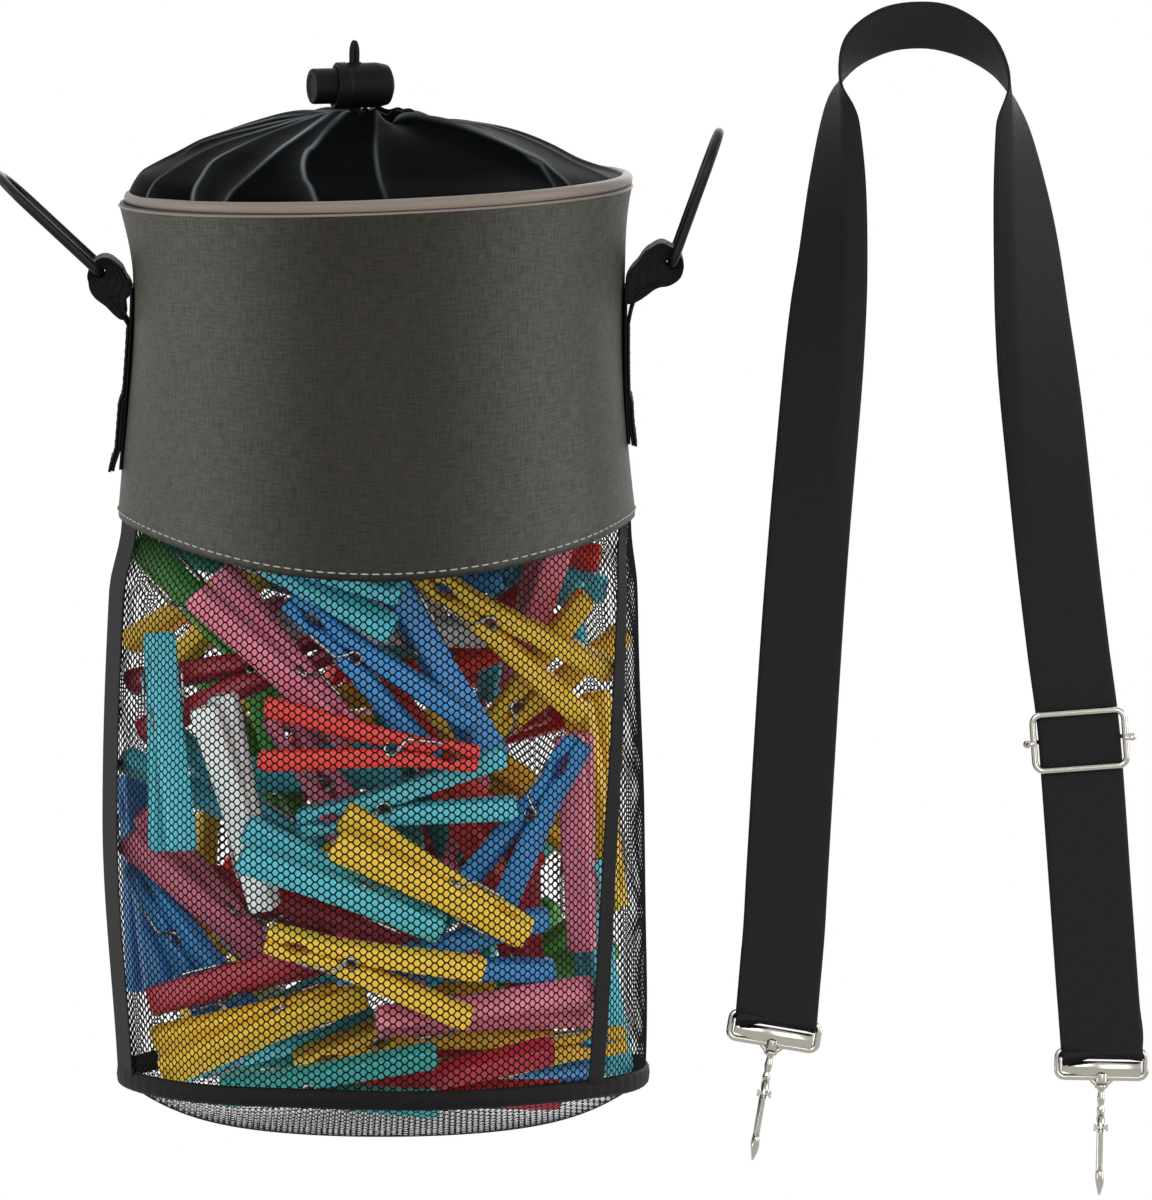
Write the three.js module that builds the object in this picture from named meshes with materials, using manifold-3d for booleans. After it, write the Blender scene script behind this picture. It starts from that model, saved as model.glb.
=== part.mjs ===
// Peg bag: a round net bag with a leather band and a gathered hood, and its shoulder strap hanging beside it.
// Millimetres, +Z up. The bag's axis is Z and its front faces -Y. The origin lies on that axis, level with
// the webbing loops that hold the two side rings, which is where the bag is hung up.
import * as THREE from 'three';
import { mergeVertices } from 'three/addons/utils/BufferGeometryUtils.js';
import Module from 'manifold-3d';

const wasm = await Module();
wasm.setup();

// Clearance between pieces that touch on the real bag
const GAP = 0.3;
const RUNNING_GAP = 0.4;

// Leather band: radii from the bag's axis and heights from the ring loops
const RIM_Z = 29.5;
const RIM_R = 90.2;
const RIM_TILT = 4.6;
const WAIST_Z = -4;
const WAIST_R = 86.7;
const HEM_Z = -83.8;
const HEM_R = 91.4;
const HEM_DIP = 13.8;
const BAND_THICKNESS = 1.6;
const PIPING_R = 1.75;

// Net body
const BASE_Z = -282;
const BASE_R = 93;
const BELLY = 3.2;
const NET_THICKNESS = 0.9;
const NET_OVERLAP = 8;
const NET_FLARE_HEIGHT = 25;
const NET_COLUMNS_FRONT = 14;
const NET_COLUMNS_BACK = 22;
const NET_ROWS = 12;
const NET_STRIP = 0.045;
const NET_EDGE = 0.04;
const NET_OPEN = 0.76;
const BASE_SAG = 17;
const BASE_FLAT_R = 30;
const BINDING_HEIGHT = 6.4;
const BINDING_THICKNESS = 2;

// Side seams: degrees forward of the bag's left and right sides
const SEAM_LEFT_FORWARD = 18;
const SEAM_RIGHT_TOP_FORWARD = 10;
const SEAM_RIGHT_BASE_FORWARD = 36;
const SEAM_SPLIT = 0.6;
const TAPE_WIDTH = 10;
const TAPE_THICKNESS = 0.9;
const TAPE_END_ROOM = 3.5;

// Gathered hood and the casing at its throat
const HOOD_SEAM = 6;
const HOOD_RISE = 30;
const HOOD_THICKNESS = 0.8;
const THROAT_R = 11;
const THROAT_DIP = 5;
const DOME_POWER = 1.9;
const CASING_R = 2.1;
const CASING_SWEEP = 290;
const PLEATS = 12;
const PLEAT_HEIGHT = 2.6;

// Drawcord and spring cord lock
const CORD_R = 1;
const STRAND_OFFSET = 1.35;
const CORD_LOOP_TOP = 84;
const LOCK_X = -8.1;
const LOCK_Y = -10;
const LOCK_Z = 68.4;
const LOCK_YAW = 20;
const LOCK_R = 8.3;
const LOCK_MOUTH = -7.5;
const LOCK_END = 13.8;
const LOCK_END_WALL = 1.8;
const LOCK_WALL = 1.7;
const PLUNGER_REACH = 8.5;
const PLUNGER_TAIL = 5.5;
const PLUNGER_TRAVEL = 3.5;
const LOCK_SPRING_R = 4.5;
const LOCK_SPRING_WIRE_R = 0.4;
const LOCK_SPRING_TURNS = 3.5;

// Webbing tabs on the band's sides, and their rings
const TAB_WIDTH = 24;
const TAB_THICKNESS = 1.3;
const RING_WIRE_R = 1.7;
const RING_HALF_WIDTH = 15.3;
const RING_LEG = 33;
const RING_CORNER_R = 3;
const TABS = {
  left: { side: -1, reach: 98, height: 2.8, tail: -68, ringAngle: 43 },
  right: { side: 1, reach: 103.8, height: 5.7, tail: -59, ringAngle: 70 },
};

// Shoulder strap, hung in front of the rings' own plane so that they swing clear of it
const STRAP_FORWARD = 32;
const WEB_WIDTH = 28;
const WEB_THICKNESS = 1.3;
const WEB_FOLD_LENGTH = 24;
const WEB_FOLD_TAPER = 12;
const RETURN_FOLD_LENGTH = 16;

// Slider: wire frame in front of the webbing, cranked bar behind it
const SLIDER_UP_THE_LEG = 110.5;
const SLIDER_WIRE_R = 1.1;
const SLIDER_HEIGHT = 22;
const SLIDER_CORNER_R = 3;
const SLIDER_BAR_R = 0.9;
const SLIDER_SIDE_ROOM = 1.1;

// Snap hooks: each one's own origin is the middle of the bar in the webbing's fold
const HOOK_BAR_R = 1.4;
const HOOK_SIDE_ROOM = 0.4;
const HOOK_LOOP_HEIGHT = 8;
const HOOK_LOOP_CORNER_R = 2.5;
const PLATE_HALF_LENGTH = 14;
const PLATE_TOP = -5.6;
const PLATE_BOTTOM = -9.4;
const PLATE_THICKNESS = 2.4;
const BOSS_R = 2.8;
const BOSS_BOTTOM = -11.6;
const POST_R = 1.1;
const POST_HEAD_R = 2.4;
const POST_HEAD_HEIGHT = 1.4;
const BARREL_R = 2.3;
const BARREL_BOTTOM = -20;
const BOW_CENTRE = -36;
const BOW_HALF_LENGTH = 12;
const BOW_HALF_WIDTH = 5;
const BOW_BAR = 3.4;
const BOW_THICKNESS = 3;
const GATE_PIVOT_Y = -6.8;
const GATE_PIVOT_Z = -26.5;
const GATE_EYE_R = 2;
const GATE_WIDTH = 2.4;
const GATE_THICKNESS = 1.2;
const GATE_TIP_Y = -2.7;
const GATE_TIP_Z = -45;
const GATE_SLOT_WIDTH = 1.8;
const NOSE_TOP = -42;
const PIN_R = 0.7;
const PIN_HEAD_R = 1.4;
const PIN_HEAD_HEIGHT = 0.7;
const LEAF_THICKNESS = 0.4;
const LEAF_WIDTH = 1.2;
const HOOKS = {
  left: { x: 140.5, z: -259.4, lean: 9.5, legLean: 4.8 },
  right: { x: 255.2, z: -271.1, lean: 1, legLean: -4.2 },
};

// Webbing from the left leg over the crown to the right leg: x, z, and the roll of its near edge in
// degrees, which is -90 where the webbing faces forward and 0 where it is seen edge-on
const STRAP_ROUTE = [
  [145.7, -201.7, -90],
  [150.4, -125.2, -84],
  [155.9, -47.1, -72],
  [158.1, -13, -63],
  [159.9, 9, -53],
  [161.7, 36, -41],
  [163.4, 61.9, -22],
  [165.9, 73.6, -4],
  [171.6, 85.1, 18],
  [180.4, 91.7, 28],
  [190.6, 93.6, 30],
  [201.2, 92.1, 28],
  [212.9, 86, 16],
  [222.4, 72.9, 0],
  [225.5, 55.3, -20],
  [228.2, 31.7, -36],
  [230, 11.5, -48],
  [231.8, -13, -60],
  [235.3, -47.1, -76],
  [240.6, -91.7, -90],
];

const radians = THREE.MathUtils.degToRad;
const mix = THREE.MathUtils.lerp;
const point = (x, y, z) => new THREE.Vector3(x, y, z);
const FRONTWARD = point(0, -1, 0);
const SIDEWAYS = point(1, 0, 0);

const FINISHES = {
  leather: { color: 0x5c5a55, roughness: 0.55, metalness: 0 },
  piping: { color: 0x85786f, roughness: 0.5, metalness: 0 },
  nylon: { color: 0x16181a, roughness: 0.45, metalness: 0 },
  net: { color: 0x141414, roughness: 0.7, metalness: 0 },
  webbing: { color: 0x1b1a1a, roughness: 0.75, metalness: 0 },
  plastic: { color: 0x1a1b1c, roughness: 0.5, metalness: 0 },
  blackMetal: { color: 0x17181a, roughness: 0.35, metalness: 0.4 },
  chrome: { color: 0xc9c9c4, roughness: 0.2, metalness: 1 },
  steel: { color: 0xa8aaac, roughness: 0.35, metalness: 1 },
};

const bag = new THREE.Group();

function addPiece(name, geometry, finish, parent = bag) {
  const mesh = new THREE.Mesh(geometry, new THREE.MeshStandardMaterial(FINISHES[finish]));
  mesh.name = name;
  parent.add(mesh);
  return mesh;
}

// Turns the faces of a closed indexed surface outwards, by the sign of the volume inside it.
function facingOut(geometry) {
  const place = geometry.attributes.position;
  const index = geometry.index.array;
  const [a, b, c] = [new THREE.Vector3(), new THREE.Vector3(), new THREE.Vector3()];
  let volume = 0;
  for (let i = 0; i < index.length; i += 3) {
    a.fromBufferAttribute(place, index[i]);
    b.fromBufferAttribute(place, index[i + 1]);
    c.fromBufferAttribute(place, index[i + 2]);
    volume += a.dot(b.cross(c));
  }
  if (volume < 0) {
    for (let i = 0; i < index.length; i += 3) {
      [index[i], index[i + 1]] = [index[i + 1], index[i]];
    }
  }
  return geometry;
}

function indexed(positions, index) {
  const geometry = new THREE.BufferGeometry();
  geometry.setAttribute('position', new THREE.Float32BufferAttribute(positions, 3));
  geometry.setIndex(index);
  return facingOut(geometry);
}

// Shared corners merged and faces with no area left out.
function merged(source) {
  const bare = source.clone();
  bare.deleteAttribute('normal');
  bare.deleteAttribute('uv');
  const welded = mergeVertices(bare, 1e-4);
  const all = Array.from(welded.index.array);
  const kept = [];
  for (let i = 0; i < all.length; i += 3) {
    const [a, b, c] = all.slice(i, i + 3);
    if (a !== b && b !== c && c !== a) {
      kept.push(a, b, c);
    }
  }
  return indexed(Array.from(welded.attributes.position.array), kept);
}

function solid(geometry) {
  const closed = merged(geometry);
  return new wasm.Manifold(new wasm.Mesh({
    numProp: 3,
    vertProperties: Float32Array.from(closed.attributes.position.array),
    triVerts: Uint32Array.from(closed.index.array),
  }));
}

function fromSolid(shape) {
  const mesh = shape.getMesh();
  return indexed(Array.from(mesh.vertProperties), Array.from(mesh.triVerts));
}

// Closed skin through a row of rings with the same even number of points. The row closes on itself, or its
// two ends are capped by strips between facing points.
function loft(rings, closed = false) {
  const size = rings[0].length;
  const index = [];
  const spans = closed ? rings.length : rings.length - 1;
  for (let j = 0; j < spans; j += 1) {
    const here = j * size;
    const next = ((j + 1) % rings.length) * size;
    for (let i = 0; i < size; i += 1) {
      const k = (i + 1) % size;
      index.push(here + i, next + i, next + k, here + i, next + k, here + k);
    }
  }
  if (!closed) {
    const end = (rings.length - 1) * size;
    for (let i = 0; i < size / 2 - 1; i += 1) {
      const far = size - 1 - i;
      index.push(i, i + 1, far, i + 1, far - 1, far);
      index.push(end + i, end + far, end + i + 1, end + i + 1, end + far, end + far - 1);
    }
  }
  return indexed(rings.flat().flatMap((p) => [p.x, p.y, p.z]), index);
}

// Wire bent to a flat closed loop, with its round section across the loop's plane normal.
function wireLoop(places, normal, wireR, sides) {
  const rings = places.map((place, i) => {
    const before = places[(i + places.length - 1) % places.length];
    const after = places[(i + 1) % places.length];
    const along = after.clone().sub(before).normalize();
    const outward = normal.clone().cross(along);
    return Array.from({ length: sides }, (_, k) => {
      const turn = (2 * Math.PI * (k + 0.5)) / sides;
      return place.clone()
        .addScaledVector(normal, wireR * Math.cos(turn))
        .addScaledVector(outward, wireR * Math.sin(turn));
    });
  });
  return loft(rings, true);
}

// Flat strap along samples that each give a place and the direction of the strap's width.
function strap(samples, width, thickness) {
  const rings = samples.map(({ at, across }, i) => {
    const before = samples[Math.max(i - 1, 0)].at;
    const after = samples[Math.min(i + 1, samples.length - 1)].at;
    const along = after.clone().sub(before).normalize();
    const wide = across.clone().addScaledVector(along, -across.dot(along)).setLength(width / 2);
    const face = along.clone().cross(wide).setLength(thickness / 2);
    return [
      at.clone().add(wide).add(face),
      at.clone().sub(wide).add(face),
      at.clone().sub(wide).sub(face),
      at.clone().add(wide).sub(face),
    ];
  });
  return loft(rings);
}

function roundTube(curve, tubeR, steps, sides) {
  const section = new THREE.Shape();
  section.absarc(0, 0, tubeR, 0, 2 * Math.PI);
  return new THREE.ExtrudeGeometry(section, { steps, extrudePath: curve, curveSegments: sides });
}

// Both sides of a line in a plane, as one closed outline of the given thickness.
function thickened(line, thickness) {
  const normals = line.map((_, i) => {
    const before = line[Math.max(i - 1, 0)];
    const after = line[Math.min(i + 1, line.length - 1)];
    const along = after.clone().sub(before).normalize();
    return new THREE.Vector2(-along.y, along.x).multiplyScalar(thickness / 2);
  });
  const upper = line.map((p, i) => p.clone().add(normals[i]));
  const lower = line.map((p, i) => p.clone().sub(normals[i]));
  return [...upper, ...lower.reverse()];
}

// Rounded rectangle in a plane, as evenly spaced points.
function roundedLoop(halfWidth, low, high, cornerR, count) {
  const path = new THREE.Path();
  const right = Math.PI / 2;
  path.moveTo(-halfWidth + cornerR, low);
  path.lineTo(halfWidth - cornerR, low);
  path.absarc(halfWidth - cornerR, low + cornerR, cornerR, -right, 0);
  path.absarc(halfWidth - cornerR, high - cornerR, cornerR, 0, right);
  path.absarc(-halfWidth + cornerR, high - cornerR, cornerR, right, 2 * right);
  path.absarc(-halfWidth + cornerR, low + cornerR, cornerR, 2 * right, 3 * right);
  path.closePath();
  return path.getSpacedPoints(count).slice(0, count);
}

function revolved(profile, segments) {
  return merged(new THREE.LatheGeometry(profile.map(([r, z]) => new THREE.Vector2(r, z)), segments));
}

// A revolve about Y, laid along Z or along X
const alongZ = (geometry) => geometry.rotateX(Math.PI / 2);
const alongX = (geometry) => geometry.rotateZ(-Math.PI / 2);

// Flat outline in the plane of Y and Z, given a thickness centred on X = 0
function platedAcrossX(shape, thickness) {
  const geometry = new THREE.ExtrudeGeometry(shape, { depth: thickness, bevelEnabled: false, curveSegments: 8 });
  geometry.translate(0, 0, -thickness / 2);
  geometry.rotateX(Math.PI / 2);
  geometry.rotateZ(Math.PI / 2);
  return geometry;
}

function aroundAxis(r, angle, z) {
  return point(r * Math.cos(angle), r * Math.sin(angle), z);
}

// Leather band: the rim leans, the waist is drawn in, and the hem dips at the front and the back.
const rimHeight = (angle) => RIM_Z + RIM_TILT * Math.cos(angle);
const hemHeight = (angle) => HEM_Z - HEM_DIP * Math.sin(angle) ** 2;

function bandRadius(z) {
  const above = z > WAIST_Z;
  const share = above ? (z - WAIST_Z) / (RIM_Z - WAIST_Z) : (WAIST_Z - z) / (WAIST_Z - HEM_Z);
  return WAIST_R + ((above ? RIM_R : HEM_R) - WAIST_R) * share * share;
}

function upperBand() {
  const around = 48;
  const levels = 6;
  const rings = Array.from({ length: around }, (_, j) => {
    const angle = (2 * Math.PI * j) / around;
    const heights = Array.from({ length: levels + 1 }, (_, i) => mix(hemHeight(angle), rimHeight(angle), i / levels));
    const outer = heights.map((z) => aroundAxis(bandRadius(z), angle, z));
    const inner = heights.map((z) => aroundAxis(bandRadius(z) - BAND_THICKNESS, angle, z));
    return [...outer, ...inner.reverse()];
  });
  return loft(rings, true);
}

function rimPiping() {
  const around = 48;
  const sides = 6;
  const rings = Array.from({ length: around }, (_, j) => {
    const angle = (2 * Math.PI * j) / around;
    const rim = rimHeight(angle);
    return Array.from({ length: sides }, (_, k) => {
      const turn = (2 * Math.PI * k) / sides;
      const r = bandRadius(rim) - BAND_THICKNESS / 2 + PIPING_R * Math.cos(turn);
      return aroundAxis(r, angle, rim + GAP + PIPING_R + PIPING_R * Math.sin(turn));
    });
  });
  return loft(rings, true);
}

// Net wall: tucked under the band's hem, flaring out below it, and bellied between hem and base.
function netRadius(z, angle) {
  const down = (HEM_Z - z) / (HEM_Z - BASE_Z);
  const bellied = mix(HEM_R, BASE_R, down) + BELLY * Math.sin(Math.PI * THREE.MathUtils.clamp(down, 0, 1));
  const hem = hemHeight(angle);
  const tucked = bandRadius(Math.max(z, hem)) - BAND_THICKNESS - GAP;
  const flare = THREE.MathUtils.smoothstep(hem - z, 0, NET_FLARE_HEIGHT);
  return mix(tucked, bellied, flare);
}

const seamLeftAngle = () => radians(SEAM_LEFT_FORWARD - 180);
const seamRightAngle = (share) => -radians(mix(SEAM_RIGHT_TOP_FORWARD, SEAM_RIGHT_BASE_FORWARD, Math.sqrt(share)));

// Place on a net panel by its share of the way across and down, on the outer or the inner face
function netPlace(fromAngle, toAngle, across, down, depth) {
  const split = SEAM_SPLIT / (2 * BASE_R);
  const angle = mix(fromAngle(down) + split, toAngle(down) - split, across);
  const z = mix(hemHeight(angle) + NET_OVERLAP, BASE_Z, down);
  return aroundAxis(netRadius(z, angle) - depth, angle, z);
}

// Shares of the way from one edge to the other: a narrow step at both ends and even steps between them
function netSteps(count, from, edge, to = 1) {
  const even = Array.from({ length: count - 1 }, (_, i) => mix(from + edge, to - edge, i / (count - 2)));
  return [from, ...even, to];
}

// Net panel between two seams: a lattice of diamond gaps under a plain strip that is sewn inside the band's hem.
function netPanel(fromAngle, toAngle, columns) {
  const across = netSteps(columns, 0, TAPE_WIDTH / 2 / (HEM_R * (toAngle(0.5) - fromAngle(0.5))));
  const down = [0, ...netSteps(NET_ROWS, NET_STRIP, NET_EDGE)];
  const last = down.length - 1;
  const positions = [];
  const index = [];
  const known = new Map();
  const corner = (i, j, depth) => {
    const key = `${i} ${j} ${depth}`;
    if (!known.has(key)) {
      const at = (list, k) => mix(list[Math.floor(k)], list[Math.min(Math.floor(k) + 1, list.length - 1)], k % 1);
      const place = netPlace(fromAngle, toAngle, at(across, i), at(down, j), depth);
      known.set(key, positions.length / 3);
      positions.push(place.x, place.y, place.z);
    }
    return known.get(key);
  };
  const addFace = (...corners) => {
    for (let k = 1; k < corners.length - 1; k += 1) {
      index.push(corners[0], corners[k], corners[k + 1]);
    }
  };
  const onBothFaces = (...places) => {
    addFace(...places.map(([i, j]) => corner(i, j, 0)));
    addFace(...places.map(([i, j]) => corner(i, j, NET_THICKNESS)).reverse());
  };
  const addWall = ([i, j], [k, l]) => addFace(
    corner(i, j, 0), corner(k, l, 0), corner(k, l, NET_THICKNESS), corner(i, j, NET_THICKNESS));
  const inside = ([i, j]) => i >= 0 && i <= columns && j >= 1 && j <= last;
  for (let i = 0; i < columns; i += 1) {
    onBothFaces([i + 1, 0], [i + 1, 1], [i, 1], [i, 0]);
    addWall([i + 1, 0], [i, 0]);
    addWall([i, last], [i + 1, last]);
  }
  for (let j = 0; j < last; j += 1) {
    addWall([0, j], [0, j + 1]);
    addWall([columns, j + 1], [columns, j]);
  }
  for (let i = 0; i <= columns; i += 1) {
    for (let j = 1 + (i % 2); j <= last; j += 2) {
      const around = [[i + 1, j], [i, j + 1], [i - 1, j], [i, j - 1]];
      const gap = around.map(([k, l]) => [mix(i, k, NET_OPEN), mix(j, l, NET_OPEN)]);
      const whole = around.every(inside);
      around.forEach((here, k) => {
        const next = around[(k + 1) % 4];
        if (whole) {
          onBothFaces(here, next, gap[(k + 1) % 4], gap[k]);
          addWall(gap[k], gap[(k + 1) % 4]);
        } else if (inside(here) && inside(next)) {
          onBothFaces(here, next, [i, j]);
        }
      });
    }
  }
  return indexed(positions, index);
}

function seamTape(angleAt) {
  const steps = 12;
  const top = 0.1;
  const samples = Array.from({ length: steps + 1 }, (_, i) => {
    const share = mix(top, 1, i / steps);
    const angle = angleAt(share);
    const low = BASE_Z + BINDING_HEIGHT / 2 + TAPE_END_ROOM / 2;
    const high = hemHeight(angle) - TAPE_END_ROOM;
    const z = mix(high, low, i / steps);
    const r = netRadius(z, angle) + GAP + TAPE_THICKNESS / 2;
    return { at: aroundAxis(r, angle, z), across: point(-Math.sin(angle), Math.cos(angle), 0) };
  });
  return strap(samples, TAPE_WIDTH, TAPE_THICKNESS);
}

// Net base: flat in the middle, curving up to its sewn edge.
function meshBase() {
  const edgeZ = BASE_Z - GAP;
  const steps = 7;
  const lower = Array.from({ length: steps + 1 }, (_, i) => {
    const r = mix(BASE_FLAT_R, BASE_R, i / steps);
    const share = (r - BASE_FLAT_R) / (BASE_R - BASE_FLAT_R);
    return [r, edgeZ - NET_THICKNESS - BASE_SAG * (1 - share ** 3)];
  });
  const upper = lower.map(([r, z]) => [r, z + NET_THICKNESS]).reverse();
  const profile = [[0, lower[0][1]], ...lower, ...upper, [0, upper[upper.length - 1][1]]];
  return alongZ(revolved(profile, 36));
}

function baseBinding() {
  const high = BASE_Z + BINDING_HEIGHT / 2;
  const low = BASE_Z - BINDING_HEIGHT / 2;
  const innerR = netRadius(high, 0) + GAP;
  const outerR = innerR + BINDING_THICKNESS;
  const bulgeR = outerR + BINDING_THICKNESS / 4;
  const profile = [[innerR, low], [outerR, low], [bulgeR, BASE_Z], [outerR, high], [innerR, high], [innerR, low]];
  return alongZ(revolved(profile, 48));
}

// Hood: sewn inside the rim, domed and pleated towards the throat, and curled round the drawcord there.
const seamInsideR = bandRadius(RIM_Z - RIM_TILT - HOOD_SEAM) - BAND_THICKNESS;
const hoodR = seamInsideR - GAP - HOOD_THICKNESS / 2;
const throatZ = RIM_Z + HOOD_RISE - THROAT_DIP;
const casingZ = throatZ + CASING_R;

function hoodLine(angle) {
  const domeSteps = 6;
  const curlSteps = 5;
  const rim = rimHeight(angle);
  const line = [new THREE.Vector2(hoodR, rim - HOOD_SEAM), new THREE.Vector2(hoodR, rim)];
  for (let k = 1; k <= domeSteps; k += 1) {
    const share = k / domeSteps;
    const rise = HOOD_RISE * (1 - (1 - share) ** DOME_POWER) - THROAT_DIP * share ** 6;
    const lean = (rim - RIM_Z) * (1 - share);
    const pleat = PLEAT_HEIGHT * Math.sin(Math.PI * share) * Math.cos(PLEATS * angle);
    line.push(new THREE.Vector2(mix(hoodR, THROAT_R, share), RIM_Z + rise + lean + pleat));
  }
  for (let k = 1; k <= curlSteps; k += 1) {
    const turn = -Math.PI / 2 - (radians(CASING_SWEEP) * k) / curlSteps;
    line.push(new THREE.Vector2(THROAT_R + CASING_R * Math.cos(turn), casingZ + CASING_R * Math.sin(turn)));
  }
  return line;
}

function drawstringHood() {
  const around = 48;
  const rings = Array.from({ length: around }, (_, j) => {
    const angle = (2 * Math.PI * j) / around;
    return thickened(hoodLine(angle), HOOD_THICKNESS).map(({ x, y }) => aroundAxis(x, angle, y));
  });
  const exitR = 6;
  const exitHeight = 2 * CASING_R + HOOD_THICKNESS;
  const exit = alongZ(new THREE.CylinderGeometry(exitR, exitR, exitHeight, 16));
  exit.translate(LOCK_X, LOCK_Y, casingZ - CORD_R / 2 + exitHeight / 2);
  return fromSolid(solid(loft(rings, true)).subtract(solid(exit)));
}

// Drawcord: round the casing from the back, up through the lock, over its loop, and back round the other side.
function drawcord() {
  const exitAngle = Math.atan2(LOCK_Y, LOCK_X);
  const backAngle = Math.PI / 2;
  const backSplit = 0.06;
  const exitSpread = 0.34;
  const yaw = radians(LOCK_YAW);
  const strandAt = (way, z) => point(
    LOCK_X + way * STRAND_OFFSET * Math.cos(yaw),
    LOCK_Y + way * STRAND_OFFSET * Math.sin(yaw),
    z,
  );
  const ringAt = (angle) => aroundAxis(THROAT_R, angle, casingZ);
  const arcSteps = 9;
  const rightArc = Array.from({ length: arcSteps }, (_, i) => (
    ringAt(mix(backAngle - backSplit, exitAngle + exitSpread, i / (arcSteps - 1)))));
  const leftArc = Array.from({ length: arcSteps - 3 }, (_, i) => (
    ringAt(mix(exitAngle - exitSpread, backAngle + backSplit - 2 * Math.PI, i / (arcSteps - 4)))));
  const rise = LOCK_Z - LOCK_R;
  const route = [
    ...rightArc,
    strandAt(1, mix(casingZ, rise, 0.8)),
    strandAt(1, LOCK_Z),
    strandAt(1, LOCK_Z + LOCK_R),
    strandAt(1, CORD_LOOP_TOP - 2 * CORD_R - STRAND_OFFSET),
    strandAt(0, CORD_LOOP_TOP - CORD_R),
    strandAt(-1, CORD_LOOP_TOP - 2 * CORD_R - STRAND_OFFSET),
    strandAt(-1, LOCK_Z + LOCK_R),
    strandAt(-1, LOCK_Z),
    strandAt(-1, mix(casingZ, rise, 0.8)),
    ...leftArc,
  ];
  return roundTube(new THREE.CatmullRomCurve3(route), CORD_R, 72, 3);
}

// Cord lock, along its own X from the button to the closed end, with the cord's way through it at X = 0
const lockGroup = new THREE.Group();
lockGroup.position.set(LOCK_X, LOCK_Y, LOCK_Z);
lockGroup.rotation.z = radians(LOCK_YAW);
bag.add(lockGroup);

const boreR = LOCK_R - LOCK_WALL;
const plungerR = boreR - GAP;
const cordRoom = STRAND_OFFSET + CORD_R + 2 * GAP;

// Upright slot that both strands pass through
function cordSlot(from, to) {
  const slotR = CORD_R + 2 * GAP;
  const shape = new THREE.Shape();
  shape.absarc(to - slotR, 0, slotR, -Math.PI / 2, Math.PI / 2);
  shape.absarc(from + slotR, 0, slotR, Math.PI / 2, 1.5 * Math.PI);
  const depth = 3 * LOCK_R;
  const slot = new THREE.ExtrudeGeometry(shape, { depth, bevelEnabled: false, curveSegments: 6 });
  return solid(slot.translate(0, 0, -depth / 2));
}

function lockBody() {
  const edge = 1;
  const profile = [
    [0, LOCK_END],
    [LOCK_R - 3 * edge, LOCK_END],
    [LOCK_R - edge, LOCK_END - edge],
    [LOCK_R, LOCK_END - 3 * edge],
    [LOCK_R, LOCK_MOUTH + edge],
    [LOCK_R - edge, LOCK_MOUTH],
    [boreR, LOCK_MOUTH],
    [boreR, LOCK_END - LOCK_END_WALL],
    [0, LOCK_END - LOCK_END_WALL],
  ];
  return fromSolid(solid(alongX(revolved(profile, 20))).subtract(cordSlot(-cordRoom, cordRoom)));
}

function lockPlunger() {
  const edge = 0.9;
  const face = LOCK_MOUTH - PLUNGER_REACH;
  const profile = [
    [0, face],
    [plungerR - edge, face],
    [plungerR, face + edge],
    [plungerR, PLUNGER_TAIL],
    [0, PLUNGER_TAIL],
  ];
  const slot = cordSlot(-cordRoom - PLUNGER_TRAVEL, cordRoom);
  return fromSolid(solid(alongX(revolved(profile, 20))).subtract(slot));
}

class Helix extends THREE.Curve {
  constructor(helixR, turns, from, to) {
    super();
    Object.assign(this, { helixR, turns, from, to });
  }

  getPoint(share, target = new THREE.Vector3()) {
    const turn = 2 * Math.PI * this.turns * share;
    return target.set(
      mix(this.from, this.to, share),
      this.helixR * Math.cos(turn),
      this.helixR * Math.sin(turn),
    );
  }
}

function lockSpring() {
  const from = PLUNGER_TAIL + GAP + LOCK_SPRING_WIRE_R;
  const to = LOCK_END - LOCK_END_WALL - GAP - LOCK_SPRING_WIRE_R;
  const coil = new Helix(LOCK_SPRING_R, LOCK_SPRING_TURNS, from, to);
  const coilGap = (to - from) / LOCK_SPRING_TURNS - 2 * LOCK_SPRING_WIRE_R;
  console.log(`cord lock spring: least gap between turns ${coilGap.toFixed(2)} mm`);
  return roundTube(coil, LOCK_SPRING_WIRE_R, 8 * LOCK_SPRING_TURNS, 5);
}

// Webbing tab: up the band's side, round the ring's bar, and back down over itself.
function tabPiece({ side, reach, height, tail }) {
  const loopR = RING_WIRE_R + RUNNING_GAP + TAB_THICKNESS / 2;
  const sewnTop = WAIST_Z - 8;
  const layer = TAB_THICKNESS + GAP;
  const against = (z, count) => bandRadius(z) + GAP + TAB_THICKNESS / 2 + count * layer;
  const heights = Array.from({ length: 5 }, (_, i) => mix(tail, sewnTop, i / 4));
  const pull = Math.atan2(height - sewnTop, reach - against(sewnTop, 1));
  const nose = Array.from({ length: 9 }, (_, i) => {
    const turn = pull + Math.PI / 2 - (Math.PI * i) / 8;
    return new THREE.Vector2(reach + loopR * Math.cos(turn), height + loopR * Math.sin(turn));
  });
  const line = [
    ...heights.map((z) => new THREE.Vector2(against(z, 0), z)),
    ...nose,
    ...heights.reverse().map((z) => new THREE.Vector2(against(z, 1), z)),
  ];
  const outline = thickened(line, TAB_THICKNESS);
  const edges = [-TAB_WIDTH / 2, TAB_WIDTH / 2];
  return loft(edges.map((y) => outline.map((p) => point(side * p.x, y, p.y))));
}

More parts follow.
